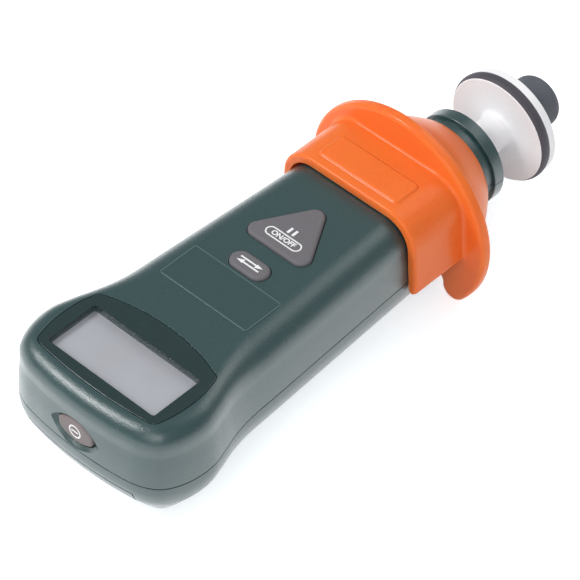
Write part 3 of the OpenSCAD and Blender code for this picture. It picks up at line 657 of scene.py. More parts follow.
def holdLoop(grow=0):
    k = holdKey
    base = math.atan2(2 * k["length"], k["width"])
    reach = k["width"] / 2 - k["round"] / math.tan(base / 2)
    centres = [(-reach, k["start"] + k["round"]), (reach, k["start"] + k["round"]),
               (0, k["start"] + k["length"] - k["round"] / math.cos(base))]
    return roundedLoop(centres, k["round"] + grow, 14)


def unitLoop(grow=0):
    half, mid = (unitKey["width"] - unitKey["length"]) / 2, unitKey["middle"]
    return roundedLoop([(-half, mid), (half, mid)], unitKey["length"] / 2 + grow, 20)


def almondLoop(grow=0, halfWidth=None, steps=24):  # two bows meeting in points, cut off at a width
    k = endKey
    rise = k["recessHeight"] / 2
    bow = (k["recessWidth"] ** 2 / 4 + rise ** 2) / (2 * rise)
    reach = math.sqrt((bow + grow) ** 2 - (bow - rise) ** 2)
    half = min(halfWidth or reach, reach)
    xs = [-half * math.cos(math.pi * i / steps) for i in range(steps + 1)]
    corner = k["corner"] if half < reach else 0

    def halfHeight(x):
        into = max(0, abs(x) - half + corner)
        soft = math.sqrt(max(0, corner ** 2 - into ** 2))
        return math.sqrt((bow + grow) ** 2 - x * x) - bow + rise - corner + soft
    lower = [(x, k["height"] - halfHeight(x)) for x in xs]
    upper = [(x, k["height"] + halfHeight(x)) for x in reversed(xs)]
    return lower + upper if corner else lower + upper[1:-1]


# Places of the screws, posts under the face
screwPlaces = [(s * x, y) for x, y in ((10, 58), (7, 99)) for s in (-1, 1)]
boardScrewPlaces = [(s * 14, y) for y in (42, 90.1) for s in (-1, 1)]
frontPosts = {"caseRadius": 3, "boardRadius": 2.1, "boardLow": 4.6, "top": 15.05}


def softHole(name, loop, low, seat, soft):  # cut from above, wider at the face by a soft edge
    top = case["top"]
    steps = ((seat, low), (seat, top - soft), (seat + 0.3 * soft, top - 0.35 * soft), (seat + soft, top),
             (seat + soft, top + case["clear"]))
    return loft(name, [level(loop(grow), z) for grow, z in steps])


def makeFrontHalf():
    c, d, k, e, p = case, display, holdKey, endKey, frontPosts
    half = caseCup("case_front", *frontSections())
    shaped(half, neckRoom("neckRoom"), "DIFFERENCE")
    shaped(half, neckHalf("neckUpper", 1), "UNION")
    shaped(half, posts("casePosts", screwPlaces, p["caseRadius"], c["gap"], p["top"]), "UNION")
    shaped(half, posts("boardPosts", boardScrewPlaces, p["boardRadius"], p["boardLow"], p["top"]), "UNION")
    cuts = [softHole("lensRecess", lensLoop, c["top"] - d["thick"], d["seat"], d["lip"]),
            loft("endRecess", [upright(almondLoop(grow), y) for grow, y in e["scoop"]])]
    cuts += [softHole(name, loop, k["holeLow"], k["gap"], k["lipSoft"])
             for name, loop in (("holdHole", holdLoop), ("unitHole", unitLoop))]
    shaped(half, joined("faceCuts", cuts), "DIFFERENCE")
    window = loft("windowHole", [level(windowLoop(), z) for z in (d["windowLow"], c["top"] + c["clear"])])
    buttonLoop = almondLoop(e["gap"] - e["trim"], e["width"] / 2 + e["gap"])
    button = loft("buttonHole", [upright(buttonLoop, y) for y in e["hole"]])
    shaped(half, joined("throughCuts", [window, button]), "DIFFERENCE")
    return finishPiece(half, caseFinish, "case", ["front_shell"])


makeFrontHalf()
print("front half of the case made")

# Back half, its battery door and the thumb ridges
door = {"half": 17.3, "length": 50.4, "drop": 4.2, "gap": 0.3, "ahead": -5, "under": -25, "ridgeCount": 7,
        "ridgePitch": 1.5, "ridgeRadius": 0.45, "ridgeHalf": 6.5, "ridgeInset": 2, "ridgeSink": 0.05,
        "panWidth": 17, "panLength": 13, "panStart": 35, "panDepth": 0.6, "panRound": 3, "panSlope": 0.5}
rearScrews = {"post": 3, "well": 2.5, "seat": -11, "shank": 1.4, "over": 1}
bayWall = {"at": 51.5, "thick": 1.4, "bite": 1,
           "side": ((13.6, 18), (10.6, 15.2), (5.4, 8), (2.2, 4), (2.1, 0.1))}


def doorBlock(name, grow):
    low = (-door["half"] - grow, door["ahead"], door["under"])
    return block(name, low, (door["half"] + grow, door["length"] + grow, -door["drop"] + grow))


def bayWallSolid():
    v = bayWall
    reach, side = gripHalfAt(v["at"]), v["side"]
    loop = [(s * (reach - x + v["bite"]), -z) for s, way in ((1, side), (-1, side[::-1])) for x, z in way]
    return loft("bayWall", [upright(loop, y) for y in (v["at"], v["at"] + v["thick"])])


def makeRearHalf():
    c, b, r, over = case, case["back"], rearScrews, rearScrews["over"]
    half = caseCup("case_rear", *rearSections())
    lid = linked("battery_lid", half.data.copy())
    shaped(half, doorBlock("doorOpening", door["gap"]), "DIFFERENCE")
    shaped(half, neckRoom("neckRoom"), "DIFFERENCE")
    shaped(half, neckHalf("neckLower", -1), "UNION")
    shaped(half, bayWallSolid(), "UNION")
    shaped(half, posts("rearPosts", screwPlaces, r["post"], -b + c["wall"] + over, -c["gap"]), "UNION")
    shaped(half, posts("screwWells", screwPlaces, r["well"], -b - over, r["seat"]), "DIFFERENCE")
    shaped(half, posts("shankHoles", screwPlaces, r["shank"], r["seat"] - over, over), "DIFFERENCE")
    finishPiece(half, caseFinish, "case", ["rear_shell"])
    shaped(lid, doorBlock("doorShape", 0), "INTERSECT")
    centres = boxCentres(door["panWidth"], door["panLength"], door["panStart"], door["panRound"])
    pan, slope = roundedLoop(centres, door["panRound"], 8), door["panSlope"]
    rings = [level(insetLoop(pan, slope), -b + door["panDepth"]), level(pan, -b - slope)]
    shaped(lid, loft("thumbPan", rings), "DIFFERENCE")
    finishPiece(lid, caseFinish, "battery_door", ["battery_door"])


makeRearHalf()
print("rear half and battery lid made")


# Geometry Nodes: trees with named inputs, made into plain meshes
class Tree:
    def __init__(self, name, inputs):
        self.tree = bpy.data.node_groups.new(name, "GeometryNodeTree")
        face = self.tree.interface
        face.new_socket("Geometry", in_out="INPUT", socket_type="NodeSocketGeometry")
        for label, kind in inputs:
            face.new_socket(label, in_out="INPUT", socket_type=kind)
        face.new_socket("Geometry", in_out="OUTPUT", socket_type="NodeSocketGeometry")
        self.start = self.tree.nodes.new("NodeGroupInput")
        self.end = self.tree.nodes.new("NodeGroupOutput")

    def add(self, kind, links=(), **values):
        node = self.tree.nodes.new(kind)
        for key, value in values.items():
            setattr(node, key, value)
        for socket, source in dict(links).items():
            target = node.inputs[socket]
            if hasattr(source, "is_linked"):
                self.tree.links.new(source, target)
            else:
                target.default_value = source
        return node

    def vector(self, **ways):
        return self.add("ShaderNodeCombineXYZ", ways).outputs[0]

    def math(self, operation, a, b):
        return self.add("ShaderNodeMath", {0: a, 1: b}, operation=operation).outputs[0]

    def onPoints(self, points, shape):
        return self.add("GeometryNodeInstanceOnPoints", {"Points": points, "Instance": shape}).outputs[0]

    def join(self, sources, target):
        for source in sources:
            self.tree.links.new(source, target)

    def close(self, geometry, finish):
        real = self.add("GeometryNodeRealizeInstances", {"Geometry": geometry})
        smooth = self.add("GeometryNodeSetShadeSmooth", {"Geometry": real.outputs[0]})
        paint = self.add("GeometryNodeSetMaterial", {"Geometry": smooth.outputs[0], "Material": finish})
        self.tree.links.new(paint.outputs[0], self.end.inputs[0])


def grown(name, tree, values, points=((0, 0, 0),)):
    mesh = bpy.data.meshes.new(name)
    mesh.from_pydata(placed(points).tolist(), [], [])
    obj = linked(name, mesh)
    step = obj.modifiers.new("grow", "NODES")
    step.node_group = tree.tree
    sockets = {s.name: s.identifier for s in tree.tree.interface.items_tree if s.in_out == "INPUT"}
    for label, value in values.items():
        step[sockets[label]] = value
    made = evaluated(obj)
    obj.modifiers.clear()
    obj.data = made
    tidyMesh(obj)
    return obj


screwForm = {"headSteps": 32, "shankSteps": 20, "slotReach": 1.3}


def screwTree(s):
    t = Tree("crossScrews", [(n, "NodeSocketFloat") for n in (
        "Head Radius", "Head Height", "Shank Radius", "Shank Length", "Slot Width", "Slot Depth")])
    i = t.start.outputs

    def rod(steps, radius, length, rise):
        shape = t.add("GeometryNodeMeshCylinder", {"Vertices": steps, "Radius": radius, "Depth": length})
        return t.add("GeometryNodeTransform", {"Geometry": shape.outputs["Mesh"],
                                               "Translation": t.vector(Z=rise)}).outputs[0]
    headMiddle, shankMiddle = (t.math("MULTIPLY", i[n], 0.5) for n in ("Head Height", "Shank Length"))
    head = rod(s["headSteps"], i["Head Radius"], i["Head Height"], headMiddle)
    shank = rod(s["shankSteps"], i["Shank Radius"], i["Shank Length"],
                t.math("ADD", shankMiddle, i["Head Height"]))
    reach = t.math("MULTIPLY", i["Head Radius"], s["slotReach"])
    deep = t.math("MULTIPLY", i["Slot Depth"], 2.0)
    cuts = []
    for a, b in (("X", "Y"), ("Y", "X")):
        size = t.vector(**{a: reach, b: i["Slot Width"], "Z": deep})
        cuts.append(t.add("GeometryNodeMeshCube", {"Size": size}).outputs["Mesh"])
    cross = t.add("GeometryNodeMeshBoolean", operation="DIFFERENCE", solver="EXACT")
    t.join([head], cross.inputs["Mesh 1"])
    t.join(cuts, cross.inputs["Mesh 2"])
    whole = t.add("GeometryNodeJoinGeometry")
    t.join([shank, cross.outputs[0]], whole.inputs[0])
    t.close(t.onPoints(i["Geometry"], whole.outputs[0]), screwFinish)
    return t


crossScrews = screwTree(screwForm)
caseScrewSizes = {"Head Radius": 0.0023, "Head Height": 0.0018, "Shank Radius": 0.00125, "Shank Length": 0.02,
                  "Slot Width": 0.0007, "Slot Depth": 0.0009}
boardScrewSizes = {"Head Radius": 0.0017, "Head Height": 0.0011, "Shank Radius": 0.0009, "Shank Length": 0.007,
                   "Slot Width": 0.0005, "Slot Depth": 0.0006}
for name, sizes, places, low, node in (
        ("case_screw_set", caseScrewSizes, screwPlaces, -12.8, "case_screws"),
        ("board_screw_set", boardScrewSizes, boardScrewPlaces, 1.9, "board_screws")):
    made = grown(name, crossScrews, sizes, [(x, y, low) for x, y in places])
    finishPiece(made, screwFinish, "case", [node])


def ridgeTree():
    t = Tree("thumbRidges", [("Count", "NodeSocketInt"), ("Pitch", "NodeSocketFloat"),
                             ("Half Width", "NodeSocketFloat"), ("Radius", "NodeSocketFloat")])
    i = t.start.outputs
    row = t.add("GeometryNodeMeshLine", {"Count": i["Count"], "Offset": t.vector(Y=i["Pitch"])})
    moved = t.onPoints(i["Geometry"], row.outputs[0])
    line = t.add("GeometryNodeRealizeInstances", {"Geometry": moved})
    left = t.math("MULTIPLY", i["Half Width"], -1.0)
    path = t.add("GeometryNodeCurvePrimitiveLine", {"Start": t.vector(X=left),
                                                    "End": t.vector(X=i["Half Width"])})
    ring = t.add("GeometryNodeCurvePrimitiveCircle", {"Resolution": 14, "Radius": i["Radius"]})
    bar = t.add("GeometryNodeCurveToMesh", {"Curve": path.outputs[0], "Profile Curve": ring.outputs[0],
                                            "Fill Caps": True})
    t.close(t.onPoints(line.outputs[0], bar.outputs[0]), caseFinish)
    return t


ridges = grown("lid_ridges", ridgeTree(), {
    "Count": door["ridgeCount"], "Pitch": door["ridgePitch"] * layout["unit"],
    "Half Width": door["ridgeHalf"] * layout["unit"], "Radius": door["ridgeRadius"] * layout["unit"]},
    [(0, door["panStart"] + door["ridgeInset"], -case["back"] + door["panDepth"] - door["ridgeSink"])])
finishPiece(ridges, caseFinish, "battery_door")
print("screws and lid ridges made")


# Lens border, window pane
def makeLens():
    d, top = display, case["top"]
    low, edge = top - d["thick"], d["edge"]
    rings = [level(lensLoop(0), low)]
    rings += [level(lensLoop(-edge * (1 - math.cos(a))), top - edge + edge * math.sin(a)) for a in quarter(4)]
    lens = loft("display_border", rings)
    shaped(lens, loft("windowCut", [level(windowLoop(), z) for z in (low - 1, top + 1)]), "DIFFERENCE")
    finishPiece(lens, lensFinish, "case", ["display_lens"])
    heights = (top - d["paneLow"], top - d["paneTop"])
    pane = loft("display_pane", [level(windowLoop(-d["paneGap"]), z) for z in heights])
    finishPiece(pane, paneFinish, "case")


makeLens()


# Keys: stem, lip under the face, cap with a soft top edge
def makeKey(name, loop, stemAt, finish, body, node):
    k = holdKey
    flangeLow, soft, rise = k["flangeTop"] - k["flange"], k["soft"], k["soft"] * k["softShare"]
    around = [math.atan2(y - stemAt, x) for x, y in loop(0)]
    stem = [(k["stem"] * math.cos(a), stemAt + k["stem"] * math.sin(a)) for a in around]
    rings = [level(stem, k["stemLow"]), level(stem, flangeLow), level(loop(k["lip"]), flangeLow),
             level(loop(k["lip"]), k["flangeTop"]), level(loop(k["swell"]), k["flangeTop"])]
    rings += [level(loop(k["swell"] - soft * (1 - math.cos(a))), k["top"] - rise + rise * math.sin(a))
              for a in quarter(6)]
    return finishPiece(loft(name, rings), finish, body, [node], 50)


makeKey("hold_key_cap", holdLoop, holdKey["start"] + holdKey["length"] * holdKey["stemShare"], keyFinish,
        "hold_key", "hold_key")
makeKey("unit_key_cap", unitLoop, unitKey["middle"], keyFinish, "unit_key", "unit_key")


def makeEndKey():
    k = endKey
    cap = almondLoop(-k["trim"], k["width"] / 2)
    wide = [(x, max(z, k["lipLow"])) for x, z in almondLoop(k["lip"] - k["gap"], k["width"] / 2 + k["lip"])]
    mid = [math.atan2(z - k["stemHeight"], x) for x, z in cap]
    stem = [(k["stem"] * math.cos(a), k["stemHeight"] + k["stem"] * math.sin(a)) for a in mid]
    lipEnd = k["lipAt"] + k["lipThick"]
    rings = [upright(insetLoop(cap, b), k["face"] + a) for a, b in edgeSteps(k["soft"], 4)]
    rings += [upright(cap, k["lipAt"]), upright(wide, k["lipAt"]), upright(wide, lipEnd), upright(stem, lipEnd),
              upright(stem, k["stemEnd"])]
    return finishPiece(loft("end_key_cap", rings), endFinish, "end_button", ["end_button"], 40)


makeEndKey()
print("lens and keys made")

# Painted marks: plain signs of our own, thin plates on the caps
marks = {"thick": 0.05, "sink": 0.01, "line": 0.36, "pillWidth": 11.2, "pillHeight": 3.1, "pillAt": 71.05,
         "barHeight": 2, "barWidth": 0.7, "barAt": 74.25, "barGap": 1.6, "wordHeight": 1.45, "wordBold": 0.06,
         "capShare": 0.7, "ringRadius": 1.95, "ringLine": 0.42, "dashWidth": 2.2, "dashHeight": 0.4,
         "arrowApart": 0.62, "arrow": ((-3.4, -0.22), (1.6, -0.22), (1.6, -0.85), (3.6, 0.12), (1.6, 0.5),
                                       (1.6, 0.22), (-3.4, 0.22))}


def bandMark(name, outer, inner, place):  # flat band between two loops of one size
    n = len(outer)
    points = [place(x, y, h) for loop in (outer, inner) for h in (0, marks["thick"]) for x, y in loop]
    faces = []
    for i in range(n):
        j = (i + 1) % n
        a, b, c, d = i, n + i, 2 * n + i, 3 * n + i
        e, f, g, h = j, n + j, 2 * n + j, 3 * n + j
        faces += [(a, e, f, b), (c, d, h, g), (b, f, h, d), (a, c, g, e)]
    return meshObject(name, points, faces)


def plateMark(name, loop, place):
    n = len(loop)
    points = [place(x, y, h) for h in (0, marks["thick"]) for x, y in loop]
    faces = [(i, (i + 1) % n, n + (i + 1) % n, n + i) for i in range(n)] + [range(n), range(n, 2 * n)]
    return meshObject(name, points, faces)


def barLoop(x, y, wide, high):
    left, right, low, top = x - wide / 2, x + wide / 2, y - high / 2, y + high / 2
    return [(left, low), (right, low), (right, top), (left, top)]


def onFace(x, y, h):
    return x, y, holdKey["top"] - marks["sink"] + h


def onEnd(x, z, h):
    return x, endKey["face"] + marks["sink"] - h, z


def wordMark(name, text, height, at):
    curve = bpy.data.curves.new(name, "FONT")
    curve.body, curve.align_x, curve.align_y = text, "CENTER", "CENTER"
    curve.size, curve.extrude, curve.offset = height / marks["capShare"], marks["thick"] / 2, marks["wordBold"]
    obj = linked(name, curve)
    mesh = evaluated(obj)
    bpy.data.objects.remove(obj)
    points = np.array([v.co for v in mesh.vertices]) + np.array(onFace(*at, marks["thick"] / 2))
    return meshObject(name, points, [list(p.vertices) for p in mesh.polygons])


def makeMarks():
    m = marks
    half = (m["pillWidth"] - m["pillHeight"]) / 2
    ends = [(-half, m["pillAt"]), (half, m["pillAt"])]
    pill = [roundedLoop(ends, m["pillHeight"] / 2 - inset, 16) for inset in (0, m["line"])]
    parts = [bandMark("pill", *pill, onFace), wordMark("word", "ON/OFF", m["wordHeight"], (0, m["pillAt"]))]
    for s in (-1, 1):
        bar = barLoop(s * m["barGap"] / 2, m["barAt"], m["barWidth"], m["barHeight"])
        parts.append(plateMark("bar", bar, onFace))
    finishPiece(joined("hold_key_marks", parts), paintFinish, "hold_key")
    y, parts = unitKey["middle"], []
    for s in (-1, 1):
        loop = [(s * x, y + s * (z + m["arrowApart"])) for x, z in m["arrow"]]
        parts.append(plateMark("arrow", loop, onFace))
    finishPiece(joined("unit_key_marks", parts), paintFinish, "unit_key")
    ring = [circleLoop(0, endKey["height"], m["ringRadius"] - inset, 40) for inset in (0, m["ringLine"])]
    dash = barLoop(0, endKey["height"], m["dashWidth"], m["dashHeight"])
    parts = [bandMark("ring", *ring, onEnd), plateMark("dash", dash, onEnd)]
    finishPiece(joined("end_key_marks", parts), paintFinish, "end_button")


makeMarks()
print("marks made")

# Guard: sleeve swept along its arch, flange plate with two lobes, hollow boss
guard = {
    "start": 94, "wall": 2.5, "half": 22.1, "top": 19.8, "round": 9.7, "lean": 1.9, "drop": 3, "rimOuter": 0.9,
    "rimInner": 0.3, "rootRound": 1.1, "rootBite": 0.6, "endRound": 1.1, "legSteps": 22, "turnSteps": 26,
    "topSteps": 20, "flangeAt": 111.8, "flange": 3.4, "flangeRadius": 28.9, "flangeSteps": 72, "rimRound": 1.2,
    "lobeBottom": 19.8, "lobeGap": 31.6, "lobeTop": 13.6, "lobeRound": 3.62, "lobeSteps": 26, "notchRound": 2.4,
    "notchDeep": 40, "bossRadius": 22.4, "bossLength": 15.2, "bossPower": 1.6, "bossBite": 0.9, "bossSteps": 28,
    "hole": 13.4, "holeLip": 0.8, "holeSoft": 0.25, "cavity": 18.9, "roomFrom": 0.02, "roomTo": 0.34,
    "roomInner": 0.16, "panelHalf": 13, "panelStart": 97, "panelLength": 8.4, "panelRound": 1.2,
    "panelSteps": ((-0.3, -0.6), (-0.3, -0.02), (0.1, 0.3)), "panelSoft": 0.45, "panelCrown": 0.2,
}


def sleevePath():  # stations up one leg, round the turn, across and down: point, outward, along
    g = guard
    r, half, top = g["round"], g["half"], g["top"]
    low, high = np.array([half + g["lean"] - r, -half]), np.array([half - r, top - r])
    d = high - low
    out = np.array([d[1], -d[0]]) / np.linalg.norm(d)
    start = low + out * r
    first = (-g["drop"] - start[1]) / d[1]
    right = [(start + d * t, out, d / np.linalg.norm(d)) for t in np.linspace(first, 1, g["legSteps"])]
    for a in np.linspace(math.atan2(out[1], out[0]), math.pi / 2, g["turnSteps"])[1:]:
        n = np.array([math.cos(a), math.sin(a)])
        right.append((high + r * n, n, np.array([-n[1], n[0]])))
    middle = [(np.array([x, top]), np.array([0, 1.0]), np.array([-1.0, 0]))
              for x in np.linspace(high[0], -high[0], g["topSteps"])[1:-1]]
    left = [(p * (-1, 1), n * (-1, 1), t * (1, -1)) for p, n, t in reversed(right)]
    return right + middle + left


def sleeveSection():
    g = guard
    y0, root, w, end = g["start"], g["rootRound"], g["wall"], g["flangeAt"]
    loop = [(-root, end + g["rootBite"])]
    loop += [(-root + root * math.cos(a), end - root + root * math.sin(a)) for a in reversed(quarter(6))]
    loop += [(a, y0 + b) for a, b in edgeSteps(g["rimOuter"], 6)]
    loop += [(w - b, y0 + a) for a, b in edgeSteps(g["rimInner"], 3)]
    return loop + [(w, end + g["rootBite"])]


def guardSleeve():
    g = guard
    section, path, mid, soft = sleeveSection(), sleevePath(), g["wall"] / 2, g["endRound"]

    def ring(p, n, shrink=1.0):
        depths = [(mid + (d - mid) * shrink, y) for d, y in section]
        return [(p[0] - d * n[0], y, p[1] - d * n[1]) for d, y in depths]

    def roundedEnd(p, n, t):
        return [ring(p + t * soft * (1 - math.sin(a)), n, 1 - soft * (1 - math.cos(a)) / mid)
                for a in quarter(5)[1:]]
    lowest = path[0][0][1] + soft
    body = [ring(p, n) for p, n, t in path if p[1] > lowest or p[1] >= g["top"]]
    p, n, t = path[-1]
    return loft("contact_guard_shell", roundedEnd(*path[0])[::-1] + body + roundedEnd(p, n, -t))


def flangeLoop():  # round above, two lobes below with a notch between them
    g = guard
    big, rho, gap, q, top = g["flangeRadius"], g["lobeRound"], g["lobeGap"] / 2, g["notchRound"], g["lobeTop"]
    x, z = gap + rho, -g["lobeBottom"] + rho
    meet = math.atan2(z, x)
    right = [(v, -top) for v in np.linspace(0, gap - q, 8)]
    right += [(gap - q + q * math.sin(a), -top - q + q * math.cos(a)) for a in quarter(8)[1:]]
    right += [(x + rho * math.cos(a), z + rho * math.sin(a))
              for a in np.linspace(-math.pi, meet, g["lobeSteps"])]
    right += [(big * math.cos(a), big * math.sin(a))
              for a in np.linspace(meet, math.pi / 2, g["flangeSteps"])[1:]]
    return right + [(-v, h) for v, h in right[-2:0:-1]]


def sleevePanel():
    g, (inset, rise) = guard, guard["panelSteps"][-1]
    centres = boxCentres(2 * g["panelHalf"], g["panelLength"], g["panelStart"], g["panelRound"])
    loop = roundedLoop(centres, g["panelRound"], 6)
    rings = [level(insetLoop(loop, amount), g["top"] + h) for amount, h in g["panelSteps"]]
    rings += [level(insetLoop(loop, inset + g["panelSoft"] * (1 - math.cos(a))),
                    g["top"] + rise + g["panelCrown"] * math.sin(a)) for a in quarter(4)[1:]]
    return loft("sleevePanel", rings)


def makeGuard():
    g, sleeve, loop = guard, guardSleeve(), flangeLoop()
    y0, y1, edge = g["flangeAt"], g["flangeAt"] + g["flange"], edgeSteps(g["rimRound"], 6)
    rings = [upright(insetLoop(loop, b), y0 + a) for a, b in edge]
    plate = loft("flangePlate", rings + [upright(insetLoop(loop, a), y1 - b) for a, b in edge])

    wide, room, steps, far = g["bossRadius"], g["cavity"], g["bossSteps"], y1 + g["bossLength"]
    fall, reach = wide - g["hole"] - g["holeLip"], g["bossLength"] + g["flange"] - g["wall"]

    def inside(t):
        radius = wide - g["wall"] - (fall - g["wall"] + g["holeLip"]) * t ** g["bossPower"]
        return min(room, radius), y0 + reach * t
    cavity = [(0, y0 - 1), (room, y0 - 1), (room, y0)]
    cavity += [inside(t) for t in np.linspace(g["roomFrom"], g["roomTo"], 8)] + [(0, y0 + reach * g["roomTo"])]
    shaped(plate, turned("guardRoom", cavity, 96), "DIFFERENCE")
    outer = [(wide - fall * t ** g["bossPower"], y1 + g["bossLength"] * t) for t in np.linspace(0, 1, steps)]
    outer[-1] = (outer[-1][0] - g["holeSoft"], outer[-1][1])
    inner = [inside(t) for t in np.linspace(1, g["roomInner"], steps)]
    boss = turned("guardBoss", [(wide, y1 - g["bossBite"])] + outer + [(g["hole"], far)] + inner, 144)
    deep, q = g["notchDeep"], g["notchRound"]
    notch = roundedLoop(boxCentres(g["lobeGap"], deep, -g["lobeTop"] - deep, q), q, 8)
    shaped(boss, loft("bossNotch", [upright(notch, y) for y in (y0 - 1, y1 + 1)]), "DIFFERENCE")
    under = block("bossUnder", (-deep, y0 - 5, -deep), (deep, y1 + 20, -g["lobeBottom"]))
    shaped(boss, under, "DIFFERENCE")
    panel = sleevePanel()
    shaped(plate, boss, "UNION")
    shaped(sleeve, plate, "UNION")
    shaped(sleeve, panel, "UNION")
    return finishPiece(sleeve, guardFinish, "case", ["contact_guard"], 36)


makeGuard()
print("guard made")

# Wheel, tyre and tip
wheel = {"hubStart": 138.3, "bore": 3.02, "hub": 4.75, "hubSoft": 0.2, "fillet": 1.4, "dish": 0.6, "rim": 15.3,
         "backRim": 14.9, "rimSoft": 0.15, "rimBack": 149.55, "rimFront": 155.0, "frontSoft": 0.5,
         "frontFlat": 1.8, "webRim": 2.6, "webTip": 0.6, "webDepth": 1.8, "tip": 7.2, "tipStart": 155.4,
         "tyreAt": 151.4, "tyreRing": 14.6, "tyreThick": 1.0, "tyreWide": 1.6, "fit": 0.02, "seatSteps": 28,
         "steps": 160, "tyreSteps": 32}


def makeWheel():
    w = wheel
    start, hub, fillet, soft = w["hubStart"], w["hub"], w["fillet"], w["rimSoft"]
    deep, root, edge = w["rimBack"] + w["dish"], hub + fillet, w["backRim"] - soft
    web = w["rimFront"] - w["webDepth"]
    profile = [(w["bore"], start), (hub - w["hubSoft"], start), (hub, start + w["hubSoft"])]
    profile += [(hub + a, deep - b) for a, b in edgeSteps(fillet, 10)]
    profile += [(root + (edge - root) * t, deep - w["dish"] * t * t) for t in np.linspace(0, 1, 17)[1:-1]]
    profile += [(edge + soft * math.sin(a), w["rimBack"] + soft * (1 - math.cos(a))) for a in quarter(5)]
    thick, wide = w["tyreThick"] + w["fit"], w["tyreWide"] + w["fit"]
    near, far = (math.asin((r - w["tyreRing"]) / thick) for r in (w["backRim"], w["rim"]))
    profile += [(w["tyreRing"] + thick * math.sin(a), w["tyreAt"] - wide * math.cos(a))
                for a in np.linspace(near, -math.pi - far, w["seatSteps"])]
    profile += [(w["rim"] - a, w["rimFront"] - b) for a, b in edgeSteps(w["frontSoft"], 5)]
    profile += [(w["rim"] - w["frontFlat"], w["rimFront"]), (w["rim"] - w["webRim"], web),
                (w["tip"] + w["webTip"], web), (w["tip"], w["tipStart"]), (w["bore"], w["tipStart"])]
    made = turned("contact_wheel_body", profile, w["steps"])
    finishPiece(made, wheelFinish, "spindle", ["contact_wheel"], 40)


makeWheel()


def tyreTree():
    t = Tree("roundTyre", [("Ring Radius", "NodeSocketFloat"), ("Section Scale", "NodeSocketVector"),
                           ("Ring Steps", "NodeSocketInt"), ("Section Steps", "NodeSocketInt")])
    i = t.start.outputs
    path = t.add("GeometryNodeCurvePrimitiveCircle", {"Resolution": i["Ring Steps"], "Radius": i["Ring Radius"]})
    ring = t.add("GeometryNodeCurvePrimitiveCircle", {"Resolution": i["Section Steps"], "Radius": 1.0})
    oval = t.add("GeometryNodeTransform", {"Geometry": ring.outputs[0], "Scale": i["Section Scale"]})
    tube = t.add("GeometryNodeCurveToMesh", {"Curve": path.outputs[0], "Profile Curve": oval.outputs[0]})
    stood = t.add("GeometryNodeTransform", {"Geometry": tube.outputs[0], "Rotation": (math.pi / 2, 0, 0)})
    t.close(t.onPoints(i["Geometry"], stood.outputs[0]), tyreFinish)
    return t


tyre = grown("wheel_tyre_ring", tyreTree(), {
    "Ring Radius": wheel["tyreRing"] * layout["unit"], "Ring Steps": wheel["steps"],
    "Section Scale": (wheel["tyreThick"] * layout["unit"], wheel["tyreWide"] * layout["unit"], layout["unit"]),
    "Section Steps": wheel["tyreSteps"]}, [(0, wheel["tyreAt"], 0)])
finishPiece(tyre, tyreFinish, "spindle", ["wheel_tyre"])

tip = {"radius": 7.2, "start": 155.42, "end": 167.6, "soft": 0.2, "round": 3.4, "roundShare": 0.9, "bore": 3.02,
       "boreEnd": 162.13, "steps": 120}


def makeTip():
    v, r, soft = tip, tip["radius"], tip["soft"]
    rise = v["round"] * v["roundShare"]
    profile = [(v["bore"], v["start"]), (r - soft, v["start"]), (r, v["start"] + soft)]
    profile += [(r - v["round"] * (1 - math.cos(a)), v["end"] - rise + rise * math.sin(a)) for a in quarter(14)]
    profile += [(0, v["end"]), (0, v["boreEnd"]), (v["bore"], v["boreEnd"])]
    made = turned("rubber_tip_cap", profile, v["steps"])
    finishPiece(made, tipFinish, "spindle", ["rubber_tip"], 40)


makeTip()
print("wheel, tyre and tip made")

# Solids that keep their own shape get their finish here
nodeFinishes = {
    "display_panel": displayFinish, "display_frame": frameFinish, "contact_strip": chipFinish,
    "label_plate": labelFinish, "circuit_board": boardFinish, "processor_chip": chipFinish,
    "hold_switch": chipFinish, "unit_switch": chipFinish, "end_switch": chipFinish,
    "drive_shaft": shaftFinish, "front_bearing": bearingFinish, "rear_bearing": bearingFinish,
    "bearing_spacer": frameFinish, "shaft_clip": bearingFinish, "encoder_disc": chipFinish,
    "optical_sensor": chipFinish, "left_cell": jacketFinish, "right_cell": jacketFinish,
    "cell_link": contactFinish, "cell_contacts": contactFinish, "battery_leads": leadFinish,
}
for name, finish in nodeFinishes.items():
    for place in nodes[name].material_slots:
        place.material = finish
for name, obj in nodes.items():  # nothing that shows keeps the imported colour
    if not obj.hide_render and name not in nodeFinishes:
        raise RuntimeError(name + " has no finish")
print("solids dressed")

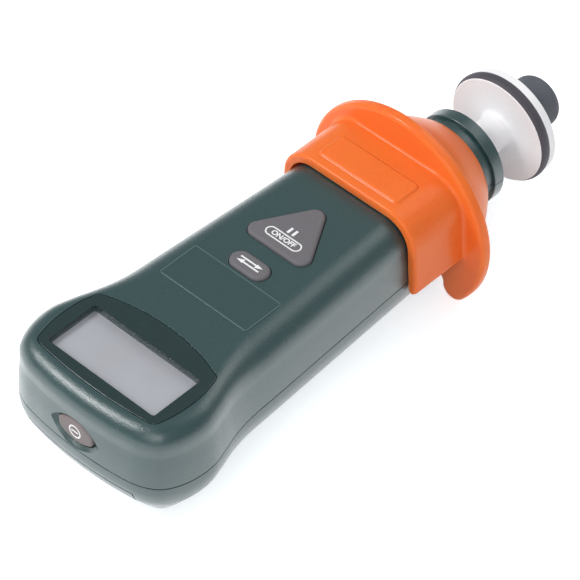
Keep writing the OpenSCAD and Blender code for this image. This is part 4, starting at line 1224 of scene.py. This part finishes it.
# Floor, world and soft lamps
studio = {"floorSize": 6, "floorShade": 0.93, "floorGlow": 0.64, "glowShade": (0.93, 0.97, 1.0), "world": 0.44,
          "worldShade": (0.95, 0.98, 1.0), "aim": (0, 0, 0.02),
          "lamps": [{"name": "upperLeft", "at": (-0.66, -0.66, 1.0), "size": 0.4, "watts": 9},
                    {"name": "nearRight", "at": (0.6, -0.95, 0.9), "size": 0.8, "watts": 5.5},
                    {"name": "overBack", "at": (0.1, 1.0, 0.95), "size": 0.8, "watts": 3.5}]}


def floorFinish(s):  # pale and faintly lit of itself where it is seen, so that its shadow stays soft
    m = Finish("pale_floor")
    m.tree.nodes.remove(m.shader)
    rays = m.add("ShaderNodeLightPath").outputs
    bent = m.math("MAXIMUM", rays["Is Glossy Ray"], rays["Is Transmission Ray"])
    glow = m.math("MULTIPLY", m.math("MAXIMUM", rays["Is Camera Ray"], bent), s["floorGlow"])
    diffuse, light = m.add("ShaderNodeBsdfDiffuse"), m.add("ShaderNodeEmission")
    diffuse.inputs["Color"].default_value = (s["floorShade"],) * 3 + (1,)
    light.inputs["Color"].default_value = (*s["glowShade"], 1)
    m.link(glow, light.inputs["Strength"])
    both = m.add("ShaderNodeAddShader")
    m.feed(both.inputs, (diffuse.outputs[0], light.outputs[0]))
    m.link(both.outputs[0], m.tree.nodes["Material Output"].inputs["Surface"])
    return m.mat


def makeStudio(s):
    half = s["floorSize"] / 2
    mesh = bpy.data.meshes.new("studio_floor")
    corners = [(-half, -half, 0), (half, -half, 0), (half, half, 0), (-half, half, 0)]
    mesh.from_pydata(corners, [], [(0, 1, 2, 3)])
    floor = linked("studio_floor", mesh)
    floor.data.materials.append(floorFinish(s))

    world = bpy.data.worlds.new("studio_air")
    world.use_nodes = True
    scene.world = world
    tree = world.node_tree
    tree.nodes.clear()
    sky = tree.nodes.new("ShaderNodeBackground")
    sky.inputs["Color"].default_value = (*s["worldShade"], 1)
    sky.inputs["Strength"].default_value = s["world"]
    out = tree.nodes.new("ShaderNodeOutputWorld")
    tree.links.new(sky.outputs[0], out.inputs["Surface"])

    for v in s["lamps"]:
        data = bpy.data.lights.new(v["name"], "AREA")
        data.shape, data.size, data.energy = "SQUARE", v["size"], v["watts"]
        lamp = linked(v["name"], data)
        lamp.location = v["at"]
        lamp.rotation_mode = "QUATERNION"
        lamp.rotation_quaternion = (Vector(v["at"]) - Vector(s["aim"])).to_track_quat("Z", "Y")


makeStudio(studio)
print("studio set")
